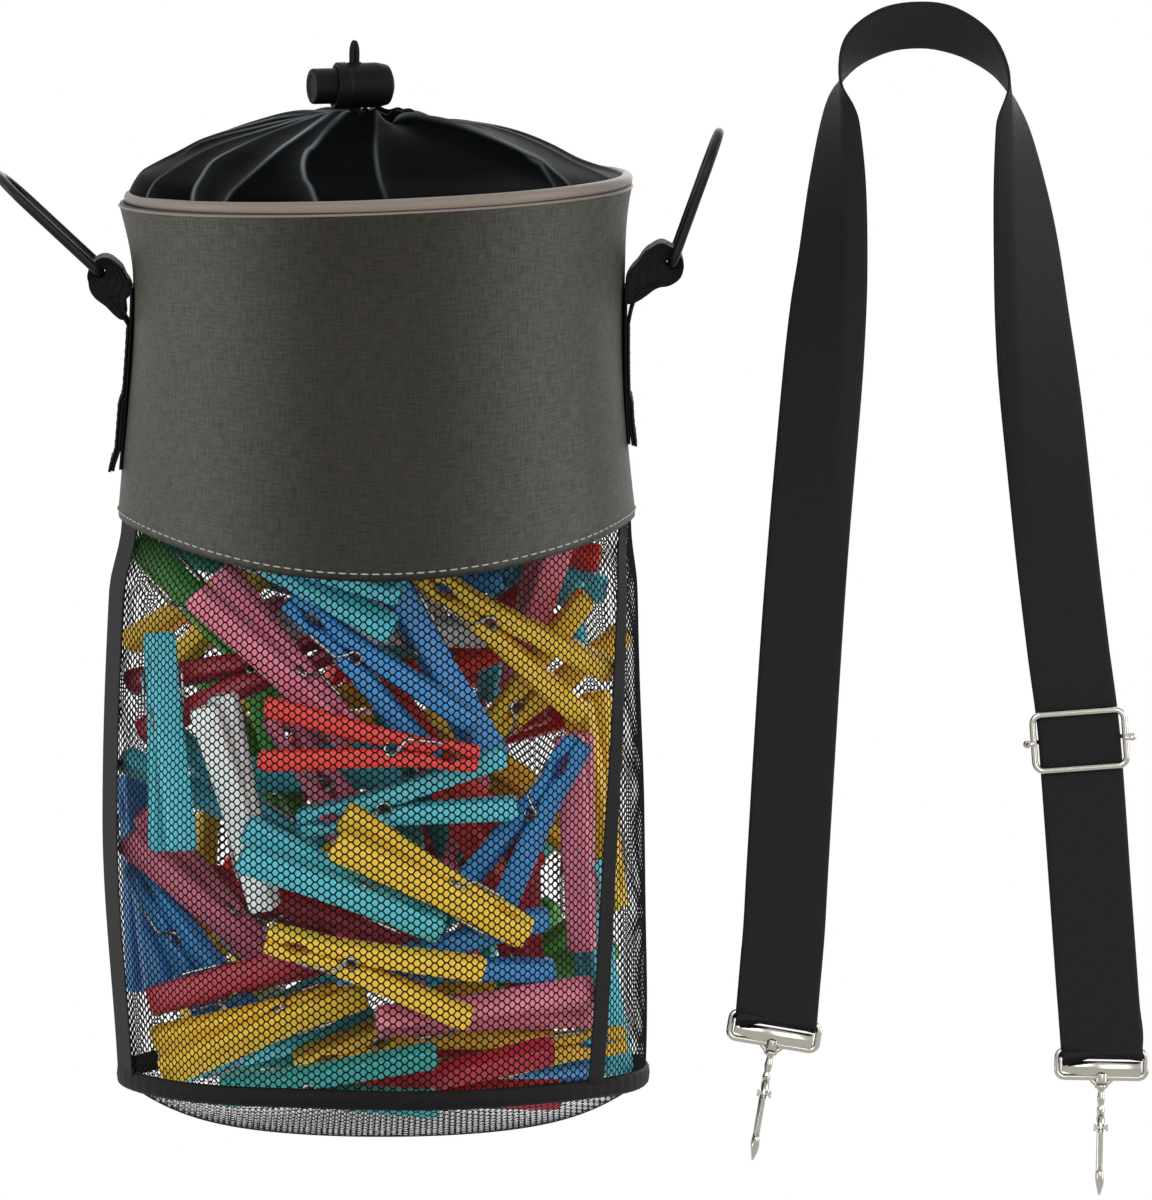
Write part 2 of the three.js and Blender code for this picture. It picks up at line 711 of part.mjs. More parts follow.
// Closed ring: a straight bar in the tab's loop, two legs and a round end, in the plane of Y and its own angle.
function ringPiece({ side, reach, height, ringAngle }) {
  const path = new THREE.Path();
  path.moveTo(0, -RING_HALF_WIDTH + RING_CORNER_R);
  path.lineTo(0, RING_HALF_WIDTH - RING_CORNER_R);
  path.absarc(RING_CORNER_R, RING_HALF_WIDTH - RING_CORNER_R, RING_CORNER_R, Math.PI, Math.PI / 2, true);
  path.absarc(RING_LEG, 0, RING_HALF_WIDTH, Math.PI / 2, -Math.PI / 2, true);
  path.absarc(RING_CORNER_R, -RING_HALF_WIDTH + RING_CORNER_R, RING_CORNER_R, -Math.PI / 2, -Math.PI, true);
  path.closePath();
  const count = 36;
  const angle = radians(ringAngle);
  const out = point(side * Math.cos(angle), 0, Math.sin(angle));
  const start = point(side * reach, 0, height);
  const places = path.getSpacedPoints(count).slice(0, count).map(({ x, y }) => (
    start.clone().addScaledVector(out, x).addScaledVector(FRONTWARD, y)));
  return wireLoop(places, out.clone().cross(FRONTWARD), RING_WIRE_R, 6);
}

// Shoulder webbing. Each leg ends in a fold round a hook's bar, whose centre lies behind the webbing.
const foldR = HOOK_BAR_R + RUNNING_GAP + WEB_THICKNESS / 2;
const behindWeb = WEB_THICKNESS + GAP;
const upTheLeg = (lean) => point(Math.sin(radians(lean)), 0, Math.cos(radians(lean)));
const acrossLeg = (lean) => point(Math.cos(radians(lean)), 0, -Math.sin(radians(lean)));

function onLeg(hook, up, back, lean = hook.legLean) {
  const bar = point(hook.x, 0, hook.z).addScaledVector(FRONTWARD, STRAP_FORWARD);
  return bar.addScaledVector(upTheLeg(lean), up).addScaledVector(FRONTWARD, -back);
}

// Half turn of webbing under a hook's bar, from its front face to its back
function foldSamples(hook) {
  const steps = 6;
  const across = acrossLeg(hook.lean);
  return Array.from({ length: steps + 1 }, (_, i) => {
    const turn = (Math.PI * i) / steps;
    return { at: onLeg(hook, -foldR * Math.sin(turn), foldR - foldR * Math.cos(turn), hook.lean), across };
  });
}

function legSamples(hook, levels) {
  return levels.map((up) => ({ at: onLeg(hook, up, 0), across: acrossLeg(hook.legLean) }));
}

function crownSamples() {
  const route = new THREE.CatmullRomCurve3(STRAP_ROUTE.map(([x, z]) => point(x, -STRAP_FORWARD, z)));
  const steps = 54;
  const rollAt = (share) => {
    const place = share * (STRAP_ROUTE.length - 1);
    const before = Math.min(Math.floor(place), STRAP_ROUTE.length - 2);
    return radians(mix(STRAP_ROUTE[before][2], STRAP_ROUTE[before + 1][2], place - before));
  };
  return Array.from({ length: steps + 1 }, (_, i) => {
    const share = i / steps;
    const along = route.getTangent(share);
    const outward = point(-along.z, 0, along.x);
    const roll = rollAt(share);
    const nearEdge = outward.multiplyScalar(Math.sin(roll)).addScaledVector(FRONTWARD, Math.cos(roll));
    return { at: route.getPoint(share), across: nearEdge };
  });
}

function shoulderWebbing() {
  const { left, right } = HOOKS;
  const leftAcross = acrossLeg(left.legLean);
  const sewn = [WEB_FOLD_LENGTH, WEB_FOLD_TAPER].map((up) => ({ at: onLeg(left, up, behindWeb), across: leftAcross }));
  const rightTop = (STRAP_ROUTE[STRAP_ROUTE.length - 1][1] - right.z) / upTheLeg(right.legLean).z;
  const straightTop = SLIDER_UP_THE_LEG + 1.5 * SLIDER_HEIGHT;
  const rightLevels = [straightTop, SLIDER_UP_THE_LEG, SLIDER_UP_THE_LEG / 2, WEB_FOLD_TAPER];
  const facing = (samples, way) => samples.map(({ at, across }) => ({ at, across: across.clone().multiplyScalar(way) }));
  const samples = [
    ...sewn,
    ...foldSamples(left).reverse(),
    ...legSamples(left, [WEB_FOLD_TAPER, 2 * WEB_FOLD_LENGTH / 1.5]),
    ...crownSamples(),
    ...facing(legSamples(right, rightLevels.filter((up) => up < rightTop)), -1),
    ...facing(foldSamples(right), -1),
  ];
  return strap(samples, WEB_WIDTH, WEB_THICKNESS);
}

// Doubled end of the webbing: from the right hook up behind the leg, over the slider's bar and down again.
const barLoopR = SLIDER_BAR_R + RUNNING_GAP + WEB_THICKNESS / 2;
const barBehind = behindWeb + barLoopR;

function webbingReturn() {
  const hook = HOOKS.right;
  const sample = (up, back, lean = hook.legLean) => ({ at: onLeg(hook, up, back, lean), across: acrossLeg(lean) });
  const steps = 6;
  const overBar = Array.from({ length: steps + 1 }, (_, i) => {
    const turn = (Math.PI * i) / steps;
    return sample(SLIDER_UP_THE_LEG + barLoopR * Math.sin(turn), barBehind - barLoopR * Math.cos(turn));
  });
  const samples = [
    sample(GAP, 2 * foldR, hook.lean),
    sample(WEB_FOLD_TAPER / 2, mix(2 * foldR, behindWeb, 0.4), hook.lean),
    sample(1.5 * WEB_FOLD_TAPER, behindWeb),
    sample(SLIDER_UP_THE_LEG / 2, behindWeb),
    ...overBar,
    sample(SLIDER_UP_THE_LEG - RETURN_FOLD_LENGTH / 2, 2 * behindWeb),
    sample(SLIDER_UP_THE_LEG - RETURN_FOLD_LENGTH, 2 * behindWeb),
  ];
  return strap(samples, WEB_WIDTH, WEB_THICKNESS);
}

// Slider, on its own group across the right leg
const sliderGroup = new THREE.Group();
sliderGroup.position.copy(onLeg(HOOKS.right, SLIDER_UP_THE_LEG, 0));
sliderGroup.rotation.y = radians(HOOKS.right.legLean);
bag.add(sliderGroup);

const sliderHalfWidth = WEB_WIDTH / 2 + SLIDER_SIDE_ROOM + SLIDER_WIRE_R;
const frameBehind = -WEB_THICKNESS / 2 - GAP - SLIDER_WIRE_R;

function sliderFrame() {
  const half = SLIDER_HEIGHT / 2 - SLIDER_WIRE_R;
  const places = roundedLoop(sliderHalfWidth, -half, half, SLIDER_CORNER_R, 40);
  return wireLoop(places.map(({ x, y }) => point(x, frameBehind, y)), FRONTWARD, SLIDER_WIRE_R, 6);
}

// Bar behind the webbing, whose ends come forward and curl round the outside of the frame's side wires.
function sliderBar() {
  const curlR = SLIDER_WIRE_R + RUNNING_GAP + SLIDER_BAR_R;
  const straight = WEB_WIDTH / 2 + GAP;
  const curl = [60, 20, -20, -60, -100].map((degrees) => point(
    sliderHalfWidth + curlR * Math.cos(radians(degrees)),
    frameBehind + curlR * Math.sin(radians(degrees)),
    0,
  ));
  const rightEnd = [point(straight, barBehind, 0), point(sliderHalfWidth + 0.7, mix(barBehind, 0, 0.4), 0), ...curl];
  const leftEnd = rightEnd.map(({ x, y, z }) => point(-x, y, z)).reverse();
  const route = new THREE.CatmullRomCurve3([...leftEnd, point(0, barBehind, 0), ...rightEnd]);
  return roundTube(route, SLIDER_BAR_R, 48, 3);
}

// Snap hook pieces, each in the hook's own frame: X along the bar, Z up the leg
function hookLoop() {
  const halfWidth = WEB_WIDTH / 2 + HOOK_SIDE_ROOM + HOOK_BAR_R;
  const places = roundedLoop(halfWidth, -HOOK_LOOP_HEIGHT, 0, HOOK_LOOP_CORNER_R, 36);
  const wire = wireLoop(places.map(({ x, y }) => point(x, 0, y)), FRONTWARD, HOOK_BAR_R, 6);
  const plate = new THREE.BoxGeometry(2 * PLATE_HALF_LENGTH, PLATE_THICKNESS, PLATE_TOP - PLATE_BOTTOM);
  plate.translate(0, 0, (PLATE_TOP + PLATE_BOTTOM) / 2);
  const bossTop = (PLATE_TOP + PLATE_BOTTOM) / 2;
  const boss = alongZ(new THREE.CylinderGeometry(BOSS_R, BOSS_R, bossTop - BOSS_BOTTOM, 14));
  boss.translate(0, 0, (bossTop + BOSS_BOTTOM) / 2);
  const holeR = POST_R + RUNNING_GAP;
  const hole = alongZ(new THREE.CylinderGeometry(holeR, holeR, 4 * HOOK_LOOP_HEIGHT, 10));
  hole.translate(0, 0, PLATE_TOP - 2 * HOOK_LOOP_HEIGHT + POST_HEAD_R);
  return fromSolid(solid(wire).add(solid(plate)).add(solid(boss)).subtract(solid(hole)));
}

// Swivel post with its riveted head, and the bow below it, open on the gate's side.
function hookBody() {
  const headBottom = PLATE_TOP + RUNNING_GAP;
  const barrelTop = BOSS_BOTTOM - RUNNING_GAP;
  const post = alongZ(revolved([
    [0, BARREL_BOTTOM - BOW_BAR],
    [BOW_THICKNESS / 2, BARREL_BOTTOM - BOW_BAR],
    [BARREL_R, BARREL_BOTTOM],
    [BARREL_R, barrelTop],
    [POST_R, barrelTop],
    [POST_R, headBottom],
    [POST_HEAD_R, headBottom],
    [POST_HEAD_R, headBottom + POST_HEAD_HEIGHT],
    [0, headBottom + POST_HEAD_HEIGHT],
  ], 12));
  const oval = (growth, Kind) => {
    const r = BOW_HALF_WIDTH + growth;
    const straight = BOW_HALF_LENGTH - BOW_HALF_WIDTH;
    const path = new Kind();
    path.absarc(0, BOW_CENTRE + straight, r, 0, Math.PI);
    path.absarc(0, BOW_CENTRE - straight, r, Math.PI, 2 * Math.PI);
    return path;
  };
  const outline = oval(BOW_BAR, THREE.Shape);
  outline.holes.push(oval(0, THREE.Path));
  const bow = solid(platedAcrossX(outline, BOW_THICKNESS));
  const armEnd = GATE_PIVOT_Z - GATE_EYE_R;
  const mouth = new THREE.BoxGeometry(2 * BOW_THICKNESS, 2 * BOW_BAR, armEnd - NOSE_TOP);
  mouth.translate(0, -BOW_HALF_WIDTH - BOW_BAR / 2, (armEnd + NOSE_TOP) / 2);
  const slotR = GATE_EYE_R + RUNNING_GAP;
  const slotBottom = armEnd - BOW_BAR;
  const slot = new THREE.BoxGeometry(GATE_SLOT_WIDTH, 4 * slotR, GATE_PIVOT_Z + slotR - slotBottom);
  slot.translate(0, GATE_PIVOT_Y, (GATE_PIVOT_Z + slotR + slotBottom) / 2);
  const holeR = PIN_R + GAP;
  const hole = alongX(new THREE.CylinderGeometry(holeR, holeR, 4 * BOW_THICKNESS, 10));
  hole.translate(0, GATE_PIVOT_Y, GATE_PIVOT_Z);
  return fromSolid(solid(post).add(bow).subtract(solid(mouth)).subtract(solid(slot)).subtract(solid(hole)));
}

// Gate: an eye on the pin and a lever that closes on the inside of the nose.
function hookGate() {
  const lever = new THREE.Vector2(GATE_TIP_Y - GATE_PIVOT_Y, GATE_TIP_Z - GATE_PIVOT_Z);
  const lean = lever.angle();
  const half = GATE_WIDTH / 2;
  const shape = new THREE.Shape();
  const flank = Math.asin(half / GATE_EYE_R);
  shape.absarc(GATE_PIVOT_Y, GATE_PIVOT_Z, GATE_EYE_R, lean + flank, lean - flank + 2 * Math.PI);
  shape.absarc(GATE_TIP_Y, GATE_TIP_Z, half, lean - Math.PI / 2, lean + Math.PI / 2);
  const hole = new THREE.Path();
  hole.absarc(GATE_PIVOT_Y, GATE_PIVOT_Z, PIN_R + GAP, 0, 2 * Math.PI);
  shape.holes.push(hole);
  return platedAcrossX(shape, GATE_THICKNESS);
}

function gatePin() {
  const shank = BOW_THICKNESS / 2 + GAP;
  const end = shank + PIN_HEAD_HEIGHT;
  const pin = alongX(revolved([
    [0, -end], [PIN_HEAD_R, -end], [PIN_HEAD_R, -shank], [PIN_R, -shank],
    [PIN_R, shank], [PIN_HEAD_R, shank], [PIN_HEAD_R, end], [0, end],
  ], 10));
  return pin.translate(0, GATE_PIVOT_Y, GATE_PIVOT_Z);
}

// Leaf spring: from the top of the bow's opening down to the inner side of the gate.
function gateSpring() {
  const top = BOW_CENTRE + BOW_HALF_LENGTH - GAP - LEAF_THICKNESS;
  const share = 0.5;
  const rest = GATE_WIDTH / 2 + GAP + LEAF_THICKNESS / 2;
  const touchY = mix(GATE_PIVOT_Y, GATE_TIP_Y, share) + rest;
  const touchZ = mix(GATE_PIVOT_Z, GATE_TIP_Z, share);
  const line = new THREE.SplineCurve([
    new THREE.Vector2(BOW_HALF_WIDTH / 4, top - LEAF_THICKNESS / 2),
    new THREE.Vector2(-BOW_HALF_WIDTH / 4, top - LEAF_THICKNESS / 2),
    new THREE.Vector2(-BOW_HALF_WIDTH / 2.5, top - 2),
    new THREE.Vector2(touchY + 0.3, mix(top, touchZ, 0.6)),
    new THREE.Vector2(touchY, touchZ),
  ]).getPoints(10);
  return platedAcrossX(new THREE.Shape(thickened(line, LEAF_THICKNESS)), LEAF_WIDTH);
}

function snapHook(side) {
  const hook = HOOKS[side];
  const group = new THREE.Group();
  group.position.copy(onLeg(hook, 0, foldR));
  group.rotation.y = radians(hook.lean);
  bag.add(group);
  addPiece(`hook_${side}_loop`, hookLoop(), 'chrome', group);
  addPiece(`hook_${side}_body`, hookBody(), 'chrome', group);
  addPiece(`hook_${side}_gate`, hookGate(), 'chrome', group);
  addPiece(`hook_${side}_gate_pin`, gatePin(), 'steel', group);
  addPiece(`hook_${side}_gate_spring`, gateSpring(), 'steel', group);
}

addPiece('upper_band', upperBand(), 'leather');
addPiece('rim_piping', rimPiping(), 'piping');
addPiece('drawstring_hood', drawstringHood(), 'nylon');
addPiece('drawcord', drawcord(), 'nylon');
addPiece('cord_lock_body', lockBody(), 'plastic', lockGroup);
addPiece('cord_lock_plunger', lockPlunger(), 'plastic', lockGroup);
addPiece('cord_lock_spring', lockSpring(), 'steel', lockGroup);
addPiece('mesh_front', netPanel(seamLeftAngle, seamRightAngle, NET_COLUMNS_FRONT), 'net');
addPiece('mesh_back', netPanel(seamRightAngle, () => seamLeftAngle() + 2 * Math.PI, NET_COLUMNS_BACK), 'net');
addPiece('mesh_base', meshBase(), 'net');
addPiece('base_binding', baseBinding(), 'webbing');
addPiece('seam_tape_left', seamTape(seamLeftAngle), 'webbing');
addPiece('seam_tape_right', seamTape(seamRightAngle), 'webbing');
for (const [side, tab] of Object.entries(TABS)) {
  addPiece(`strap_tab_${side}`, tabPiece(tab), 'webbing');
  addPiece(`ring_${side}`, ringPiece(tab), 'blackMetal');
}
addPiece('shoulder_webbing', shoulderWebbing(), 'webbing');
addPiece('webbing_return', webbingReturn(), 'webbing');
addPiece('slider_frame', sliderFrame(), 'chrome', sliderGroup);
addPiece('slider_bar', sliderBar(), 'chrome', sliderGroup);
snapHook('left');
snapHook('right');

export default bag;
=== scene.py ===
"""Looks of the peg bag: net bag with pegs, leather band, gathered hood and shoulder strap."""

import itertools
import math

import bpy
import numpy as np
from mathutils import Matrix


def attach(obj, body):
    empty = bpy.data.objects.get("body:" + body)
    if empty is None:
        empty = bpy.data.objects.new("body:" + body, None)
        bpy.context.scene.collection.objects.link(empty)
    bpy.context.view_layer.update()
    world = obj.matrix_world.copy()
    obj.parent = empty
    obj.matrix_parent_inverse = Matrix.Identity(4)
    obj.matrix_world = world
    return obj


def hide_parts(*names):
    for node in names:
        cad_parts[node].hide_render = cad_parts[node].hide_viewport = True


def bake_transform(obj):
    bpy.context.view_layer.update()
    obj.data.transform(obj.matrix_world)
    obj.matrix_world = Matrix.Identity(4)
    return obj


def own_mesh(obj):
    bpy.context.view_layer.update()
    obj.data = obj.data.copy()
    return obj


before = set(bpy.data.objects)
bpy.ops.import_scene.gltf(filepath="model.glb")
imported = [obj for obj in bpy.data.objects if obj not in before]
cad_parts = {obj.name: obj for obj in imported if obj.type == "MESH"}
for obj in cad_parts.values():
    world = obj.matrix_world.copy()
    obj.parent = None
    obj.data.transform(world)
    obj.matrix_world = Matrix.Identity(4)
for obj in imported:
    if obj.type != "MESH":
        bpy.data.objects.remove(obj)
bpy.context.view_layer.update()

MM = 0.001
TURN = 2 * math.pi
FRONT, UP = np.array([0.0, -1.0, 0.0]), np.array([0.0, 0.0, 1.0])
rng = np.random.default_rng(11)

# The bag's sizes in millimetres: those of the solids, but for a rim that leans less and a hem that dips more
RIM_Z, RIM_R, RIM_TILT = 29.5, 90.2, 3.3
WAIST_Z, WAIST_R = -4.0, 86.7
HEM_Z, HEM_R, HEM_DIP = -83.8, 91.4, 15.8
BAND_THICKNESS = 1.6
BASE_Z, BASE_R, BELLY = -282.0, 93.0, 3.2
BASE_SAG, BASE_FLAT_R = 17.0, 30.0
THROAT_R, CASING_Z = 11.0, 56.6
STRAP_Y, STRAP_WIDTH, STRAP_THICKNESS = -32.0, 28.0, 1.3


# Meshes


def grid_quads(rows, cols, closed=False):
    """Four corner numbers of each cell of a grid of rings; if closed, the last ring joins the first."""
    i = np.arange(rows if closed else rows - 1)[:, None]
    j = np.arange(cols)[None, :]
    down, right = (i + 1) % rows, (j + 1) % cols
    return np.stack([i * cols + j, i * cols + right, down * cols + right, down * cols + j], -1).reshape(-1, 4)


def grid_corners(rows, cols, u, v, closed=False):
    """Texture place of each cell's four corners; u has one value more than a ring has points, and v has one
    more than there are rings, if the grid is closed."""
    i, j = np.meshgrid(np.arange(rows if closed else rows - 1), np.arange(cols), indexing="ij")
    place = [(i, j), (i, j + 1), (i + 1, j + 1), (i + 1, j)]
    return np.stack([np.stack([u[b], v[a]], -1) for a, b in place], -2).reshape(-1, 4, 2)


def end_caps(rows, cols):
    """The two faces that close a tube of so many rings."""
    return [list(range(cols)), [(rows - 1) * cols + k for k in reversed(range(cols))]]


def add_piece(name, shape, material, body="bag", replaces=None):
    """Mesh piece from points in millimetres, faces as corner numbers and, on cloth, the corners' texture
    places. It rides on a body of the frame, if one is given."""
    points, faces, *corners = shape
    mesh = bpy.data.meshes.new(name)
    places = np.asarray(points, float).reshape(-1, 3) * MM
    mesh.from_pydata(places.tolist(), [], [list(face) for face in faces])
    mesh.polygons.foreach_set("use_smooth", np.full(len(mesh.polygons), True))
    if corners:
        layer = mesh.uv_layers.new(name="UVMap")
        layer.data.foreach_set("uv", np.asarray(corners[0], np.float32).ravel())
    mesh.materials.append(material)
    mesh.update()
    piece = bpy.data.objects.new(name, mesh)
    bpy.context.scene.collection.objects.link(piece)
    if body:
        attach(piece, body)
    if replaces:
        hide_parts(replaces)
    return piece


def join_parts(parts):
    """One list of points and faces out of several."""
    points, faces, start = [], [], 0
    for part_points, part_faces in parts:
        points.append(np.asarray(part_points, float).reshape(-1, 3))
        faces.extend([corner + start for corner in face] for face in part_faces)
        start += len(points[-1])
    return np.concatenate(points), faces


def unit(vectors):
    """Vectors divided by their lengths."""
    return vectors / np.linalg.norm(vectors, axis=-1, keepdims=True)


def tangents(path, closed=False):
    """Direction along a path at each of its points."""
    if closed:
        return unit(np.roll(path, -1, 0) - np.roll(path, 1, 0))
    return unit(np.gradient(path, axis=0))


def tube(path, radius, sides, closed=False, up=(0, 0, 1)):
    """Round tube along a path: at each point a circle across the path, whose start leans to `up`."""
    path = np.asarray(path, float)
    along = tangents(path, closed)
    side = unit(np.cross(along, np.asarray(up, float)))
    rise = np.cross(side, along)
    turn = TURN * np.arange(sides) / sides
    radius = np.broadcast_to(np.asarray(radius, float), (len(path),))[:, None, None]
    ring = side[:, None] * np.cos(turn)[None, :, None] + rise[:, None] * np.sin(turn)[None, :, None]
    faces = grid_quads(len(path), sides, closed).tolist()
    if not closed:
        faces += end_caps(len(path), sides)
    return (path[:, None] + radius * ring).reshape(-1, 3), faces


def lathe(profile, segments):
    """Profile of radius and height turned about Z, with both ends closed."""
    profile = np.asarray(profile, float)
    turn = TURN * np.arange(segments) / segments
    r, z = profile[:, :1], np.repeat(profile[:, 1:], segments, 1)
    points = np.stack([r * np.cos(turn), r * np.sin(turn), z], -1).reshape(-1, 3)
    faces = grid_quads(len(profile), segments).tolist()
    return points, faces + [cap[::-1] for cap in end_caps(len(profile), segments)]


def smooth_path(places, per_span):
    """Curve through places: on each span a cubic whose end slopes are half the neighbours' difference."""
    p = np.asarray(places, float)
    padded = np.concatenate([[2 * p[0] - p[1]], p, [2 * p[-1] - p[-2]]])[:, None]
    before, here, there, after = padded[:-3], padded[1:-2], padded[2:-1], padded[3:]
    t = (np.arange(per_span) / per_span)[None, :, None]
    curve = here + 0.5 * t * (there - before + t * (2 * before - 5 * here + 4 * there - after
                              + t * (3 * (here - there) + after - before)))
    return np.concatenate([curve.reshape(-1, p.shape[1]), p[-1:]])


def way_along(path):
    """Distance from a path's start at each of its points."""
    return np.concatenate([[0], np.cumsum(np.linalg.norm(np.diff(path, axis=0), axis=1))])


def even_path(path, count, closed=False):
    """The same line with points at equal distances along it."""
    path = np.asarray(path, float)
    if closed:
        path = np.concatenate([path, path[:1]])
    far = way_along(path)
    want = np.linspace(0, far[-1], count + 1)[:-1] if closed else np.linspace(0, far[-1], count)
    return np.stack([np.interp(want, far, path[:, k]) for k in range(path.shape[1])], -1)


def smoothstep(x, low, high):
    """From 0 at low to 1 at high, level at both ends."""
    t = np.clip((x - low) / (high - low), 0, 1)
    return t * t * (3 - 2 * t)


def mix(a, b, t):
    """Value that lies at the share t of the way from a to b."""
    return a + (b - a) * t


def around(r, angle, z):
    """Places at these distances from the bag's axis, angles round it and heights."""
    r, angle, z = np.broadcast_arrays(r, angle, z)
    return np.stack([r * np.cos(angle), r * np.sin(angle), z], -1)


def turned_from(angle, centre):
    """Angle from a centre direction, at most half a turn to either side."""
    return np.angle(np.exp(1j * (angle - centre)))


# Materials


def linear(hex_colour):
    """Linear colour, opaque, from a colour as it shows on screen."""
    value = np.array([int(hex_colour[k:k + 2], 16) for k in (1, 3, 5)]) / 255
    value = np.where(value <= 0.04045, value / 12.92, ((value + 0.055) / 1.055) ** 2.4)
    return (*value.tolist(), 1.0)


def add_node(tree, kind, inputs=None, **settings):
    """Node with its settings, its constants set on its sockets and its links made."""
    made = tree.nodes.new(kind)
    for key, value in settings.items():
        setattr(made, key, value)
    for key, value in (inputs or {}).items():
        if isinstance(value, bpy.types.NodeSocket):
            tree.links.new(value, made.inputs[key])
        else:
            made.inputs[key].default_value = value
    return made


def new_group(name, inputs, outputs):
    """Empty node group with float inputs, and its two end nodes."""
    group = bpy.data.node_groups.new(name, "ShaderNodeTree")
    for key, value in inputs.items():
        group.interface.new_socket(key, in_out="INPUT", socket_type=FLOAT).default_value = value
    for key, kind in outputs.items():
        group.interface.new_socket(key, in_out="OUTPUT", socket_type=kind)
    return group, group.nodes.new("NodeGroupInput"), group.nodes.new("NodeGroupOutput")


FLOAT, VECTOR = "NodeSocketFloat", "NodeSocketVector"


def handling_group():
    """Handled surface: cloudy roughness and a very fine bump, by place on the object."""
    group, start, end = new_group(
        "Handled", {"Roughness": 0.4, "Spread": 0.1, "Grain": 900.0, "Bump": 0.05},
        {"Roughness": FLOAT, "Normal": VECTOR})
    place = add_node(group, "ShaderNodeTexCoord").outputs["Object"]
    cloud = add_node(group, "ShaderNodeTexNoise", {
        "Vector": place, "Scale": 60.0, "Detail": 4.0, "Roughness": 0.6})
    fine = add_node(group, "ShaderNodeTexNoise", {
        "Vector": place, "Scale": start.outputs["Grain"], "Detail": 3.0})
    swing = add_node(group, "ShaderNodeMath", {0: cloud.outputs["Fac"], 1: 0.5}, operation="SUBTRACT")
    scaled = add_node(group, "ShaderNodeMath", {
        0: swing.outputs[0], 1: start.outputs["Spread"], 2: start.outputs["Roughness"],
    }, operation="MULTIPLY_ADD")
    bump = add_node(group, "ShaderNodeBump", {
        "Strength": start.outputs["Bump"], "Distance": 0.0004, "Height": fine.outputs["Fac"]})
    group.links.new(scaled.outputs[0], end.inputs["Roughness"])
    group.links.new(bump.outputs["Normal"], end.inputs["Normal"])
    return group


def weave_group():
    """Woven tape: threads along and across the tape's own texture place, over and under by turns."""
    group, start, end = new_group("Weave", {"Pitch": 0.9, "Bump": 0.4}, {"Height": FLOAT, "Normal": VECTOR})
    place = add_node(group, "ShaderNodeUVMap", uv_map="UVMap")
    scale = add_node(group, "ShaderNodeMath", {0: 1.0, 1: start.outputs["Pitch"]}, operation="DIVIDE")
    grid = add_node(group, "ShaderNodeVectorMath", {
        0: place.outputs["UV"], "Scale": scale.outputs[0]}, operation="SCALE")
    axes = add_node(group, "ShaderNodeSeparateXYZ", {0: grid.outputs[0]})
    rounded = []
    for axis in ("X", "Y"):
        turn = add_node(group, "ShaderNodeMath", {0: axes.outputs[axis], 1: math.pi}, operation="MULTIPLY")
        wave = add_node(group, "ShaderNodeMath", {0: turn.outputs[0]}, operation="SINE")
        rounded.append(add_node(group, "ShaderNodeMath", {0: wave.outputs[0]}, operation="ABSOLUTE"))
    over = add_node(group, "ShaderNodeTexChecker", {"Vector": grid.outputs[0], "Scale": 1.0})
    thread = add_node(group, "ShaderNodeMix", {
        "Factor": over.outputs["Fac"], "A": rounded[0].outputs[0], "B": rounded[1].outputs[0],
    }, data_type="FLOAT")
    bump = add_node(group, "ShaderNodeBump", {
        "Strength": start.outputs["Bump"], "Distance": 0.0002, "Height": thread.outputs[0]})
    group.links.new(thread.outputs[0], end.inputs["Height"])
    group.links.new(bump.outputs["Normal"], end.inputs["Normal"])
    return group


HANDLED = handling_group()
WEAVE = weave_group()


def new_material(name, colour, **inputs):
    """Material of one colour, with its node tree and its shader, whose inputs are named with underscores."""
    material = bpy.data.materials.new(name)
    material.use_nodes = True
    shader = material.node_tree.nodes["Principled BSDF"]
    shader.inputs["Base Color"].default_value = linear(colour)
    for key, value in inputs.items():
        shader.inputs[key.replace("_", " ")].default_value = value
    return material, material.node_tree, shader


def colour_mix(tree, factor, first, second):
    """Socket of a colour between two others."""
    inputs = {"Factor": factor, "A": first, "B": second}
    return add_node(tree, "ShaderNodeMix", inputs, data_type="RGBA").outputs["Result"]


def handled_material(name, colour, roughness, grain=900.0, bump=0.05, **inputs):
    """Plain finish with cloudy gloss and a fine skin."""
    material, tree, shader = new_material(name, colour, **inputs)
    values = {"Roughness": roughness, "Spread": 0.12, "Grain": grain, "Bump": bump}
    skin = add_node(tree, "ShaderNodeGroup", values, node_tree=HANDLED)
    tree.links.new(skin.outputs["Roughness"], shader.inputs["Roughness"])
    tree.links.new(skin.outputs["Normal"], shader.inputs["Normal"])
    return material


def woven_material(name, dark, light, pitch=0.9):
    """Webbing: dark between the threads and lighter on them."""
    material, tree, shader = new_material(name, dark, Roughness=0.62, Specular_IOR_Level=0.08)
    weave = add_node(tree, "ShaderNodeGroup", {"Pitch": pitch, "Bump": 0.5}, node_tree=WEAVE)
    colour = colour_mix(tree, weave.outputs["Height"], linear(dark), linear(light))
    tree.links.new(colour, shader.inputs["Base Color"])
    tree.links.new(weave.outputs["Normal"], shader.inputs["Normal"])
    return material


